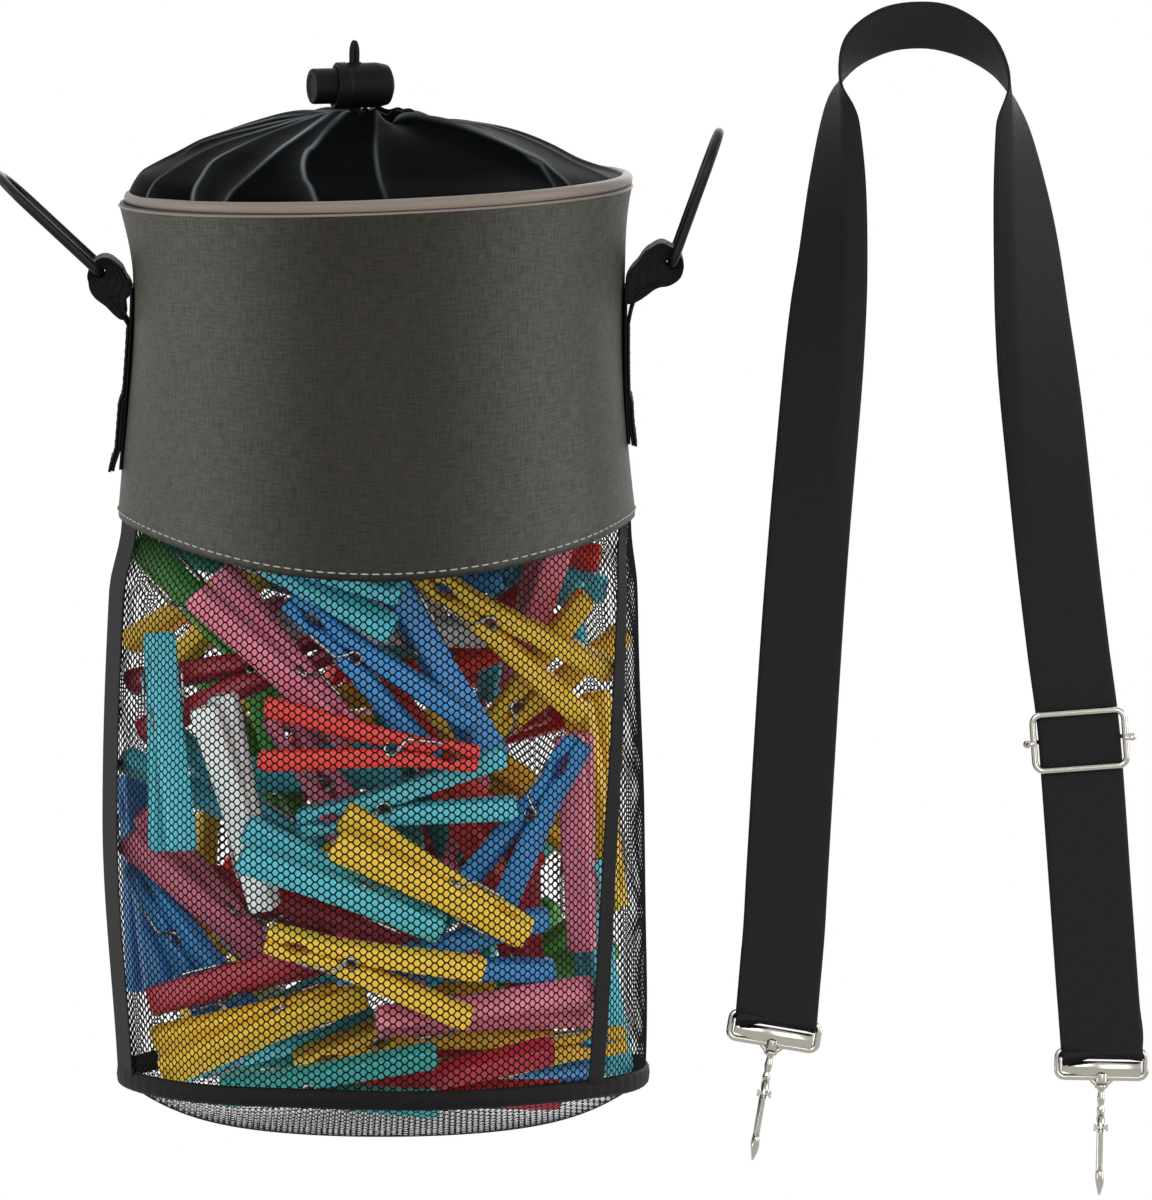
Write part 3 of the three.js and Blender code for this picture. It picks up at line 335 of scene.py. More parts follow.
def leather_material():
    """Coated leather: raised crossing threads, each set made of noise drawn out along one direction, and
    painted light from the sides: the colour is darkest at the front and back and paler toward the two sides."""
    material, tree, shader = new_material("Band leather", "#3a3832", Roughness=0.52, Specular_IOR_Level=0.12)
    place = add_node(tree, "ShaderNodeUVMap", uv_map="UVMap")
    sets = []
    for stretch in ((1.5, 0.16, 1.0), (0.16, 1.5, 1.0)):
        drawn = add_node(tree, "ShaderNodeMapping", {"Vector": place.outputs["UV"], "Scale": stretch})
        sets.append(add_node(tree, "ShaderNodeTexNoise", {
            "Vector": drawn.outputs["Vector"], "Scale": 1.0, "Detail": 2.0, "Roughness": 0.55}))
    crossing = add_node(tree, "ShaderNodeMath", {0: sets[0].outputs["Fac"], 1: sets[1].outputs["Fac"]})
    height = add_node(tree, "ShaderNodeMapRange", {
        "Value": crossing.outputs[0], "From Min": 0.72, "From Max": 1.28}).outputs["Result"]
    object_place = add_node(tree, "ShaderNodeTexCoord").outputs["Object"]
    where = add_node(tree, "ShaderNodeSeparateXYZ", {0: object_place})
    aside = add_node(tree, "ShaderNodeMath", {0: where.outputs["X"]}, operation="ABSOLUTE")
    # painted side light: a mask from nought at the middle to one at the sides, where the side lamps would
    # brighten the band
    painted_side_light = add_node(tree, "ShaderNodeMapRange", {
        "Value": aside.outputs[0], "From Min": 0.012, "From Max": 0.068,
    }, interpolation_type="SMOOTHSTEP")
    # a shaded colour pair for the front and back and a paler, lit colour pair for the sides
    shaded_and_side_lit = [colour_mix(tree, height, linear(dark), linear(light))
              for dark, light in (("#191713", "#2a2721"), ("#2f2e29", "#484741"))]
    bump = add_node(tree, "ShaderNodeBump", {"Strength": 0.35, "Distance": 0.0004, "Height": height})
    tree.links.new(colour_mix(tree, painted_side_light.outputs["Result"], *shaded_and_side_lit), shader.inputs["Base Color"])
    tree.links.new(bump.outputs["Normal"], shader.inputs["Normal"])
    return material


def satin_material():
    """Black satin cloth with a painted highlight along each crease's crest and a faint painted sheen on its
    wider flank, read from a mesh attribute.
    """
    black = "#050607"
    material = handled_material("Satin nylon", black, 0.42, grain=2600.0, bump=0.1, Specular_IOR_Level=0.003)
    tree = material.node_tree
    crest = add_node(tree, "ShaderNodeAttribute", attribute_name="crest")
    # painted highlight: the crest attribute mixes the black toward a pale grey along the crests and their lit
    # flanks
    colour = colour_mix(tree, crest.outputs["Fac"], linear(black), linear("#7d8284"))
    tree.links.new(colour, tree.nodes["Principled BSDF"].inputs["Base Color"])
    return material


LEATHER = leather_material()
PIPING = handled_material("Taupe piping", "#6e635a", 0.45, grain=700.0, bump=0.12, Specular_IOR_Level=0.25)
SATIN = satin_material()
NET = handled_material("Black net", "#070707", 0.75, grain=3000.0, bump=0.2, Specular_IOR_Level=0.06)
WEBBING = woven_material("Black webbing", "#0c0c0c", "#1d1d1d")
TAPE = woven_material("Black tape", "#060606", "#121212", pitch=0.7)
THREAD = handled_material("Grey thread", "#8f8c85", 0.6)
BLACK_THREAD = handled_material("Black thread", "#0e0e0e", 0.6, Specular_IOR_Level=0.1)
MOULDING = handled_material(
    "Black moulding", "#0a0d0e", 0.5, grain=1800.0, bump=0.12, Specular_IOR_Level=0.06)
WIRE = handled_material("Black coated wire", "#0a0a0b", 0.4, grain=800.0, bump=0.08, Specular_IOR_Level=0.15)
CHROME = handled_material("Bright plating", "#a5a199", 0.18, grain=500.0, bump=0.03, Metallic=1.0)
STEEL = handled_material("Spring steel", "#a9aaab", 0.28, grain=700.0, Metallic=1.0)


# Camera, light and surroundings


def aim(thing, target):
    """Turns a camera or a light to look at a place."""
    back = np.asarray(thing.location) - np.asarray(target)
    thing.rotation_euler = (
        math.atan2(math.hypot(back[0], back[1]), back[2]), 0.0, math.atan2(back[0], -back[1]))


def add_camera():
    """Long lens, five degrees above the horizon; the picture's long side spans 424 mm at the bag."""
    data = bpy.data.cameras.new("Camera")
    camera = bpy.data.objects.new("Camera", data)
    bpy.context.scene.collection.objects.link(camera)
    target = np.array([69.9, 0.0, -114.3]) * MM
    rise, away, span = math.radians(5.0), 9.0, 0.4236
    camera.location = target + away * np.array([0.0, -math.cos(rise), math.sin(rise)])
    aim(camera, target)
    data.sensor_width = 36.0
    data.lens = data.sensor_width * away / span
    data.clip_end = 100.0
    bpy.context.scene.camera = camera


def add_area_light(name, place, target, size, power):
    """Rectangular lamp that shines on a target."""
    data = bpy.data.lights.new(name, "AREA")
    data.shape = "RECTANGLE"
    data.size, data.size_y = size
    data.energy = power
    light = bpy.data.objects.new(name, data)
    bpy.context.scene.collection.objects.link(light)
    light.location = place
    aim(light, target)


def looked_at(tree):
    """Socket that is one for rays from the camera, off gloss and through clear things, and else nought."""
    ray = add_node(tree, "ShaderNodeLightPath")
    seen = ray.outputs["Is Camera Ray"]
    for kind in ("Is Glossy Ray", "Is Transmission Ray"):
        larger = add_node(tree, "ShaderNodeMath", {0: seen, 1: ray.outputs[kind]}, operation="MAXIMUM")
        seen = larger.outputs[0]
    return seen


def add_world():
    """White where the camera, metal and glass look at it; soft grey light for everything else."""
    world = bpy.data.worlds.new("World")
    bpy.context.scene.world = world
    world.use_nodes = True
    tree = world.node_tree
    tree.nodes.clear()
    white = add_node(tree, "ShaderNodeBackground", {"Color": (1, 1, 1, 1), "Strength": 1.0})
    soft = add_node(tree, "ShaderNodeBackground", {"Color": (0.9, 0.95, 1.0, 1), "Strength": 0.42})
    both = add_node(tree, "ShaderNodeMixShader", {
        0: looked_at(tree), 1: soft.outputs[0], 2: white.outputs[0]})
    end = add_node(tree, "ShaderNodeOutputWorld")
    tree.links.new(both.outputs[0], end.inputs["Surface"])


def add_floor():
    """Pale floor far under the hanging bag: it takes shadow near the bag and runs out into white."""
    material, tree, shader = new_material("Pale floor", "#eeeeec", Roughness=0.9)
    place = add_node(tree, "ShaderNodeTexCoord")
    far = add_node(tree, "ShaderNodeVectorMath", {0: place.outputs["Object"]}, operation="LENGTH")
    fade = add_node(tree, "ShaderNodeMapRange", {
        "Value": far.outputs["Value"], "From Min": 0.45, "From Max": 1.1})
    white = add_node(tree, "ShaderNodeEmission", {"Color": (1, 1, 1, 1), "Strength": 1.0})
    seen = add_node(tree, "ShaderNodeMath", {
        0: fade.outputs["Result"], 1: looked_at(tree)}, operation="MULTIPLY")
    both = add_node(tree, "ShaderNodeMixShader", {
        0: seen.outputs[0], 1: shader.outputs[0], 2: white.outputs[0]})
    tree.links.new(both.outputs[0], tree.nodes["Material Output"].inputs["Surface"])
    side, low = 12.0, -0.62
    corners = [(-side, -side, low), (side, -side, low), (side, side, low), (-side, side, low)]
    mesh = bpy.data.meshes.new("Floor")
    mesh.from_pydata(corners, [], [[0, 1, 2, 3]])
    mesh.materials.append(material)
    floor = bpy.data.objects.new("Floor", mesh)
    bpy.context.scene.collection.objects.link(floor)


add_camera()
add_world()
add_floor()
BAG_MIDDLE = (0.05, 0.0, -0.1)
LAMPS = [
    ("Key", (-0.7, -2.1, 1.0), (1.2, 1.2), 25.0),
    ("Fill", (0.9, -2.1, 0.4), (1.2, 1.6), 20.0),
    ("Left side", (-1.7, -0.1, 0.1), (0.9, 1.8), 19.0),
    ("Right side", (1.9, 0.0, 0.1), (0.9, 1.8), 28.0),
    ("Top", (0.0, 0.3, 1.9), (1.0, 1.0), 8.0),
    ("Back", (0.4, 1.9, 0.6), (1.4, 1.4), 12.0),
]
for name, place, size, power in LAMPS:
    add_area_light(name, place, BAG_MIDDLE, size, power)
bpy.context.scene.view_settings.view_transform = "Standard"


# Shoulder strap

FOLD_R, BEHIND = 2.45, 1.6
LEFT_HOOK = {"x": 140.5, "z": -259.4, "lean": math.radians(9.5), "leg": math.radians(4.8)}
RIGHT_HOOK = {"x": 255.2, "z": -271.1, "lean": math.radians(1.0), "leg": math.radians(-4.2)}
SLIDER_UP = 110.5

# Crown of the strap from the left leg to the right: x, z and the roll of the near edge in degrees,
# -90 where the webbing faces forward and 0 where it is seen edge-on
CROWN = np.array([
    (144.6, -201.7, -90), (149.2, -125.2, -84), (154.8, -47.1, -70), (157.2, -13.0, -60), (158.8, 9.0, -48),
    (160.2, 36.0, -34), (161.4, 61.9, -14), (163.6, 73.0, 6), (169.6, 83.5, 28), (179.0, 89.4, 36),
    (190.0, 91.1, 38), (200.4, 89.7, 37), (211.6, 83.5, 28), (220.6, 71.5, 8), (224.6, 55.3, -15),
    (227.6, 31.7, -33), (229.6, 11.5, -45), (231.4, -13.0, -57), (234.4, -47.1, -74), (238.6, -91.7, -88),
    (242.9, -128.0, -90),
])


def leaning_axes(lean):
    """Across, depth and up directions of a hook or a leg of the strap that leans so far to the right."""
    across = np.array([math.cos(lean), 0.0, -math.sin(lean)])
    up = np.array([math.sin(lean), 0.0, math.cos(lean)])
    return across, np.array([0.0, 1.0, 0.0]), up


def on_leg(hook, up, back, lean="leg"):
    """Places on a leg: so far up from the hook's bar and so far behind the webbing's face line."""
    _, depth, rise = leaning_axes(hook[lean])
    start = np.array([hook["x"], STRAP_Y, hook["z"]])
    up, back = np.broadcast_arrays(np.asarray(up, float), np.asarray(back, float))
    return start + up[..., None] * rise + back[..., None] * depth


def ribbon(path, across, width, thickness, crease=None):
    """Tape along a path: a flat section, thinner at its edges and closed by a point beside each of them.
    `across` leads over its width; `crease` bends the strip beyond a third of the width back."""
    along = tangents(path)
    across = unit(across - (across * along).sum(1, keepdims=True) * along)
    face = np.cross(along, across)
    steps, half, edge = 25, thickness / 2, width / 2 + 0.35 * thickness
    wide = np.linspace(-0.5, 0.5, steps) * width
    section_w = np.concatenate([wide, [edge], wide[::-1], [-edge]])
    section_n = np.concatenate([np.full(steps, half), [0], np.full(steps, -half), [0]])
    section_n = section_n * np.where(np.abs(section_w) > 0.49 * width, 0.72, 1.0)
    lift = np.zeros(len(path)) if crease is None else crease
    strip = np.logaddexp(0, (section_w - 0.32 * width) / 0.7) * 0.7
    points = (path[:, None] + across[:, None] * section_w[None, :, None]
              + face[:, None] * (section_n[None] + lift[:, None] * strip[None])[..., None])
    count, far = len(section_w), way_along(path)
    faces = grid_quads(len(path), count).tolist() + end_caps(len(path), count)
    corners = grid_corners(len(path), count, np.append(section_w, section_w[0]), far)
    ends = [np.stack([section_w, section_n + y], -1) for y in (far[0], far[-1])]
    return points.reshape(-1, 3), faces, np.concatenate([corners.reshape(-1, 2), ends[0], ends[1][::-1]])


def strap_line():
    """Centre line of the webbing and the direction of its width, from the sewn left end to the right hook."""
    half_turn = np.linspace(0, math.pi, 9)
    fold_up, fold_back = -FOLD_R * np.sin(half_turn), FOLD_R - FOLD_R * np.cos(half_turn)
    left_leg, left_fold, right_leg, right_fold = (
        leaning_axes(hook[part])[0] for hook in (LEFT_HOOK, RIGHT_HOOK) for part in ("leg", "lean"))
    left = np.concatenate([
        on_leg(LEFT_HOOK, [24, 12], [BEHIND, BEHIND]),
        on_leg(LEFT_HOOK, fold_up[::-1], fold_back[::-1], "lean"),
        on_leg(LEFT_HOOK, [12, 32], [0, 0]),
    ])
    left_across = np.array([left_leg] * 2 + [left_fold] * 9 + [left_leg] * 2)
    crown = np.stack([CROWN[:, 0], np.full(len(CROWN), STRAP_Y), CROWN[:, 1]], -1)
    right = np.concatenate([
        on_leg(RIGHT_HOOK, [SLIDER_UP, 55, 12], [0, 0, 0]),
        on_leg(RIGHT_HOOK, fold_up, fold_back, "lean"),
    ])
    right_across = -np.array([right_leg] * 3 + [right_fold] * 9)
    along = tangents(crown)
    outward = np.stack([-along[:, 2], np.zeros(len(crown)), along[:, 0]], -1)
    roll = np.radians(CROWN[:, 2:])
    near = outward * np.sin(roll) + FRONT * np.cos(roll)
    places = np.concatenate([left, crown, right])
    across = np.concatenate([left_across, near, right_across])
    return smooth_path(places, 10), unit(smooth_path(across, 10))


strap_path, strap_across = strap_line()
height = strap_path[:, 2]
strap_crease = 0.75 * smoothstep(height, -115, -25) * (1 - smoothstep(height, 58, 76))
strap = add_piece(
    "Shoulder_webbing", ribbon(strap_path, strap_across, STRAP_WIDTH, STRAP_THICKNESS, strap_crease), WEBBING,
    replaces="shoulder_webbing")


def return_line():
    """Doubled end of the webbing: up behind the right leg, over the slider's bar and a little way down."""
    half_turn = np.linspace(0, math.pi, 9)
    loop_r = 0.9 + 0.4 + STRAP_THICKNESS / 2
    up = np.concatenate([
        [0.3, 6, 18, 55, 95], SLIDER_UP + loop_r * np.sin(half_turn), [SLIDER_UP - 8, SLIDER_UP - 16]])
    back = np.concatenate([
        [2 * FOLD_R, 3.6, BEHIND, BEHIND, BEHIND], BEHIND + loop_r - loop_r * np.cos(half_turn),
        [2 * BEHIND, 2 * BEHIND]])
    foot, rest = on_leg(RIGHT_HOOK, up[:2], back[:2], "lean"), on_leg(RIGHT_HOOK, up[2:], back[2:])
    foot_across, leg_across = (leaning_axes(RIGHT_HOOK[part])[0] for part in ("lean", "leg"))
    across = np.array([foot_across] * len(foot) + [leg_across] * len(rest))
    return smooth_path(np.concatenate([foot, rest]), 8), -unit(smooth_path(across, 8))


return_path, return_across = return_line()
doubled = add_piece(
    "Webbing_return", ribbon(return_path, return_across, STRAP_WIDTH, STRAP_THICKNESS), WEBBING, body=None,
    replaces="webbing_return")
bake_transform(doubled)


# Leather band, piping and hem stitches


def rim_height(angle):
    """Height of the rim, which leans up to the right."""
    return RIM_Z + RIM_TILT * np.cos(angle)


def hem_height(angle):
    """Height of the hem, which dips at the front and the back."""
    return HEM_Z - HEM_DIP * np.sin(angle) ** 2


def band_radius(z):
    """Outer radius: least at the waist, growing with the square of the way to the rim or to the hem."""
    up, down = (z - WAIST_Z) / (RIM_Z - WAIST_Z), (WAIST_Z - z) / (WAIST_Z - HEM_Z)
    return WAIST_R + np.where(z > WAIST_Z, (RIM_R - WAIST_R) * up**2, (HEM_R - WAIST_R) * down**2)


def band_dents(angle, z):
    """Slow hand-made waves of the band's wall, in millimetres, and a wider flare of its left top corner."""
    flare = (0.4 * np.cos(angle) ** 2 - 1.5 * np.cos(angle)) * smoothstep(z, 0.0, 30.0)
    return (flare + 0.45 * np.sin(3 * angle + 0.03 * z) + 0.3 * np.sin(5 * angle - 0.045 * z + 1.0)
            + 0.18 * np.sin(9 * angle + 0.08 * z + 2.0))


def band_face(angle, z):
    """Radius of the band's outer face as it is made, waves and all."""
    return band_radius(z) + band_dents(angle, z)


def angles_from_back(count):
    """Angles round the bag at equal steps, starting at the middle of its back."""
    return TURN * np.arange(count) / count + math.pi / 2


def upper_band():
    """Closed wall: outer face from hem to rim, rounded rim edge, inner face down again, rounded hem."""
    cols, rows = 288, 64
    angle = angles_from_back(cols)
    rise = np.linspace(0, 1, rows)
    share = np.concatenate([rise, rise[::-4]])
    depth = np.concatenate([np.zeros(rows), np.full(len(rise[::-4]), BAND_THICKNESS)])
    depth[[0, rows - 1]] = 0.35
    depth[[rows, len(depth) - 1]] = BAND_THICKNESS - 0.3
    z = mix(hem_height(angle)[None], rim_height(angle)[None], share[:, None])
    lift = np.zeros(len(share))
    lift[[0, -1]] = -0.25
    lift[[rows - 1, rows]] = 0.25
    points = around(band_face(angle[None], z) - depth[:, None], angle[None], z + lift[:, None])
    faces = grid_quads(len(share), cols, closed=True)
    far = np.append(share, share[0]) * 120.0
    corners = grid_corners(len(share), cols, np.arange(cols + 1) * TURN * 90 / cols, far, closed=True)
    return points, faces[:, ::-1], corners[:, ::-1]


add_piece("Upper_band", upper_band(), LEATHER, replaces="upper_band")


def piping_inset(angle):
    """The piping sits deeper inside the band's flared sides, most of all on the left."""
    return 1.2 + 1.9 * np.cos(angle) ** 2 - 0.9 * np.cos(angle)


def rim_ring(inset, lift):
    """Closed line along the rim, so far inward of its outer edge and above it."""
    angle = angles_from_back(288)
    rim = rim_height(angle)
    return around(band_face(angle, rim) - inset(angle), angle, rim + lift)


def constant(value):
    """Function that gives the same value everywhere."""
    return lambda place: np.full_like(np.asarray(place, float), value)


piping = tube(rim_ring(piping_inset, 2.0), 2.2, 16, closed=True)
seam_line = tube(rim_ring(constant(0.2), -0.7), 0.5, 8, closed=True)
add_piece("Rim_piping", join_parts([piping, seam_line]), PIPING, replaces="rim_piping")


def stitches(centres, along, outward, length, radius):
    """Row of sewn stitches: each one a short tube that dives into the cloth at both ends."""
    t, sides = np.linspace(-0.5, 0.5, 7), 6
    arch = radius * (0.9 - 3.2 * t**2)
    thin = radius * np.sqrt(np.clip(1 - (2 * t) ** 4, 0.05, 1))
    line = (centres[:, None] + along[:, None] * (t * length)[None, :, None]
            + outward[:, None] * arch[None, :, None])
    side = np.cross(along, outward)
    turn = TURN * np.arange(sides) / sides
    ring = side[:, None] * np.cos(turn)[None, :, None] + outward[:, None] * np.sin(turn)[None, :, None]
    points = line[:, :, None] + ring[:, None] * thin[None, :, None, None]
    one = grid_quads(len(t), sides)
    faces = one[None] + (np.arange(len(centres)) * len(t) * sides)[:, None, None]
    return points.reshape(-1, 3), faces.reshape(-1, 4)


def hem_stitches():
    """Stitch row a little above the hem, one stitch each 3.9 mm."""
    count, above = 148, 2.4
    angle = TURN * np.arange(count) / count
    fine = angle + 0.001
    z, next_z = hem_height(angle) + above, hem_height(fine) + above
    here = around(band_face(angle, z), angle, z)
    along = unit(around(band_face(fine, next_z), fine, next_z) - here)
    return stitches(here, along, around(1.0, angle, 0.0), 2.9, 0.28)


add_piece("Hem_stitches", hem_stitches(), THREAD)


# Net: hexagonal holes in a lattice of columns 2.04 mm apart and rows 2.85 mm apart

COLUMN, ROW = 2.04, 2.85
HOLE, CROCHET = 0.78, 0.28
STRETCHED_HOLE, STRETCHED_CROCHET = 0.79, 0.13
NET_R, NET_HEIGHT = 92.0, 0.198
SEAM_LEFT = math.radians(18 - 180)


def net_radius(z, angle):
    """Outer radius: under the band's hem at the top, flaring out below it to a belly between hem and base.
    The whole wall leans a little, to the left above and to the right below."""
    down = (HEM_Z - z) / (HEM_Z - BASE_Z)
    bellied = mix(HEM_R, BASE_R, down) + BELLY * np.sin(math.pi * np.clip(down, 0, 1))
    hem = hem_height(angle)
    tucked = band_radius(np.maximum(z, hem)) - BAND_THICKNESS - 0.3
    sway = mix(-1.4, 1.8, smoothstep(-z, 190.0, 285.0)) * np.cos(angle)
    return mix(tucked, bellied + sway, smoothstep(hem - z, 0.0, 25.0))


def hex_cells(u, v, hole_share=HOLE):
    """Welded corner points, hole points and faces of hexagonal cells with these centres. Each cell is a ring
    of six four-sided strands between its own six corners and the six corners of its hole."""
    reach = COLUMN / 2 + ROW**2 / (8 * COLUMN)
    short, half = COLUMN - reach, ROW / 2
    outline = np.array([
        (reach, 0), (short, half), (-short, half), (-reach, 0), (-short, -half), (short, -half)])
    centre = np.stack([u, v], -1)[:, None]
    outer = (centre + outline).reshape(-1, 2)
    keys, first, number = np.unique(
        np.round(outer * 200).astype(int), axis=0, return_index=True, return_inverse=True)
    corner = number.reshape(-1, 6)
    hole = len(keys) + np.arange(len(u) * 6).reshape(-1, 6)
    faces = np.stack([corner, np.roll(corner, -1, 1), np.roll(hole, -1, 1), hole], -1).reshape(-1, 4)
    flat = np.concatenate([outer[first], (centre + outline * hole_share).reshape(-1, 2)])
    return flat, faces, len(keys)


def hex_centres(u_low, u_high, v_low, v_high):
    """Centres of the cells over a rectangle, with every second column half a row higher."""
    cols = np.arange(math.floor(u_low / COLUMN), math.ceil(u_high / COLUMN) + 1)
    rows = np.arange(math.floor(v_low / ROW), math.ceil(v_high / ROW) + 1)
    i, j = np.meshgrid(cols, rows, indexing="ij")
    return (i * COLUMN).ravel(), (j * ROW + (i % 2) * ROW / 2).ravel()


def seam_right(z):
    """Angle of the slanting right seam: 10 degrees forward of the right side at the top, 36 at the base."""
    down = np.clip((HEM_Z + 6 - z) / (HEM_Z + 6 - BASE_Z), 0, 1)
    return -np.radians(mix(10.0, 36.0, np.sqrt(down)))


def net_panel(low_angle, high_angle):
    """Cells between two seams, laid on the net's wall; holes lie deeper, so that strands look round."""
    ends = np.array([BASE_Z, HEM_Z])
    u, v = hex_centres(np.min(low_angle(ends)) * NET_R, np.max(high_angle(ends)) * NET_R, BASE_Z, HEM_Z + 5)
    angle = u / NET_R
    kept = (angle > low_angle(v)) & (angle < high_angle(v)) & (v < hem_height(angle) + 4) & (v > BASE_Z)
    flat, faces, corners = hex_cells(u[kept], v[kept])
    angle, z = flat[:, 0] / NET_R, flat[:, 1]
    depth = np.where(np.arange(len(flat)) < corners, 0.15, 0.15 + CROCHET)
    slack = 0.5 * np.sin(5 * angle + 0.05 * z) + 0.35 * np.sin(8 * angle - 0.07 * z + 1.3)
    free = smoothstep(hem_height(angle) - z, 4, 30)
    return around(net_radius(z, angle) - depth + 0.6 * slack * free, angle, z), faces


PANELS = [
    ("front", constant(SEAM_LEFT), seam_right, 0.226),
    ("back", seam_right, constant(SEAM_LEFT + TURN), 0.352),
]
for side, low, high, width in PANELS:
    cells = net_panel(low, high)
    panel = add_piece(f"Net_{side}", cells, NET, replaces=f"mesh_{side}")


def base_height(r):
    """Underside of the base: flat in the middle, rising to its edge with the third power of the way out."""
    share = np.clip((r - BASE_FLAT_R) / (BASE_R - BASE_FLAT_R), 0, 1)
    return BASE_Z - 1.0 - BASE_SAG * (1 - share**3)


BASE_CUT_R = BASE_R - 1.6


def net_base():
    """Cells of the base, stretched by the pegs' weight, so that their strands are thinner and flatter."""
    u, v = hex_centres(-BASE_R, BASE_R, -BASE_R, BASE_R)
    kept = np.hypot(u, v) < BASE_CUT_R
    flat, faces, corners = hex_cells(u[kept], v[kept], STRETCHED_HOLE)
    deeper = np.where(np.arange(len(flat)) < corners, 0.0, STRETCHED_CROCHET)
    z = base_height(np.hypot(flat[:, 0], flat[:, 1])) + deeper
    return np.concatenate([flat + np.array([1.8, 0.0]), z[:, None]], 1), faces[:, ::-1]


net_floor = add_piece("Net_base", net_base(), NET, replaces="mesh_base")


def base_binding():
    """Folded tape round the base's edge, a little puckered by its stitching."""
    cols = 320
    angle = angles_from_back(cols)
    section = np.array([
        (-0.6, -3.4), (0.9, -3.5), (1.8, -2.6), (2.1, 0.0), (1.8, 2.6), (0.9, 3.4), (0.2, 3.4), (0.0, 0.0),
        (-0.2, -3.0)])
    pucker = 0.12 * np.sin(80 * angle) + 0.3 * np.sin(4 * angle + 0.6)
    r = net_radius(np.array(BASE_Z + 3.2), angle)[None] - 1.3 + section[:, :1] + pucker[None]
    points = around(r, angle[None], BASE_Z + section[:, 1:] + 0.25 * np.sin(6 * angle)[None])
    faces = grid_quads(len(section), cols, closed=True)
    v = way_along(np.concatenate([section, section[:1]]))
    corners = grid_corners(len(section), cols, np.arange(cols + 1) * TURN * 95 / cols, v, closed=True)
    return points, faces[:, ::-1], corners[:, ::-1]


add_piece("Base_binding", base_binding(), TAPE, replaces="base_binding")


def seam_tape(angle_at, width):
    """Tape down a side seam, on the outside of the net from the hem to the binding."""
    z = np.linspace(BASE_Z + 2.0, HEM_Z - 1.0, 40)
    angle = angle_at(z)
    z = np.minimum(z, hem_height(angle) - 0.5)
    path = around(net_radius(z, angle) + 0.2, angle, z)
    across = np.stack([-np.sin(angle), np.cos(angle), np.zeros_like(angle)], -1)
    return ribbon(path, across, width, 0.6)


SEAMS = [("left", constant(SEAM_LEFT - math.radians(4.5)), 23.0), ("right", seam_right, 9.0)]
for side, angle_at, width in SEAMS:
    tape = seam_tape(angle_at, width)
    add_piece(f"Seam_tape_{side}", tape, TAPE, replaces=f"seam_tape_{side}")


# Hood, drawn in by its cord

HOOD_R, HOOD_RISE, THROAT_DIP = 86.0, 30.0, 5.0

# Creases of the hood: way from rim to throat as share and angle in degrees, height and width of the two
# flanks in millimetres, and how bright the painted highlight on the crest is
CREASES = [
    ([(0.28, 184), (0.5, 188), (0.7, 194), (0.95, 204)], 1.8, 7.0, 4.0, 0.6),
    ([(0.0, 224), (0.12, 219.5), (0.22, 215.5), (0.35, 217.5), (0.55, 219.5), (0.78, 225), (1.0, 226)],
     3.4, 5.0, 9.0, 0.8),
    ([(0.0, 232), (0.1, 233.3), (0.45, 237), (0.68, 237), (0.85, 233.5), (1.0, 232)], 3.2, 7.0, 4.0, 1.0),
    ([(0.0, 258), (0.12, 253.6), (0.18, 250.3), (0.27, 247), (0.36, 245.4), (0.45, 246), (0.85, 243),
      (1.0, 243)], 3.4, 10.0, 3.0, 0.8),
    ([(0.0, 273.5), (0.2, 271), (0.45, 269.6), (0.75, 270), (1.0, 272)], 1.6, 4.0, 4.0, 0.3),
    ([(0.0, 320.6), (0.12, 323), (0.25, 324.4), (0.4, 320), (0.58, 311), (0.72, 301), (0.92, 294)],
     4.6, 3.4, 17.0, 0.8),
    ([(0.0, 314), (0.1, 318.5), (0.2, 323)], 1.3, 3.0, 3.0, 0.5),
    ([(0.58, 328), (0.75, 333), (0.92, 338)], 1.2, 3.0, 4.0, 0.4),
]
# Plain folds of the sides and the back: angle in degrees, height, flank widths and sway in degrees
PLAIN_FOLDS = [
    (344, 2.0, 6.0, 9.0, 2), (2, 2.6, 4.0, 8.0, -3), (17, 2.2, 6.0, 5.0, 3), (33, 3.2, 4.0, 9.0, 2),
    (49, 2.2, 6.0, 7.0, -3), (64, 3.2, 4.0, 9.0, 3), (82, 2.6, 7.0, 5.0, -2), (97, 3.0, 5.0, 8.0, 4),
    (113, 2.4, 4.0, 6.0, -3), (128, 3.2, 5.0, 9.0, 2), (146, 2.4, 7.0, 5.0, 3), (161, 2.8, 4.0, 7.0, -3),
    (174, 2.0, 6.0, 4.0, 2), (201, 1.6, 5.0, 5.0, -2),
]
for at, tall, near, far, sway in PLAIN_FOLDS:
    # each plain fold gets a painted crest highlight of strength 0.6
    CREASES.append(([(0.0, at - sway), (0.3, at + sway), (0.65, at), (1.0, at - sway)], tall, near, far, 0.6))


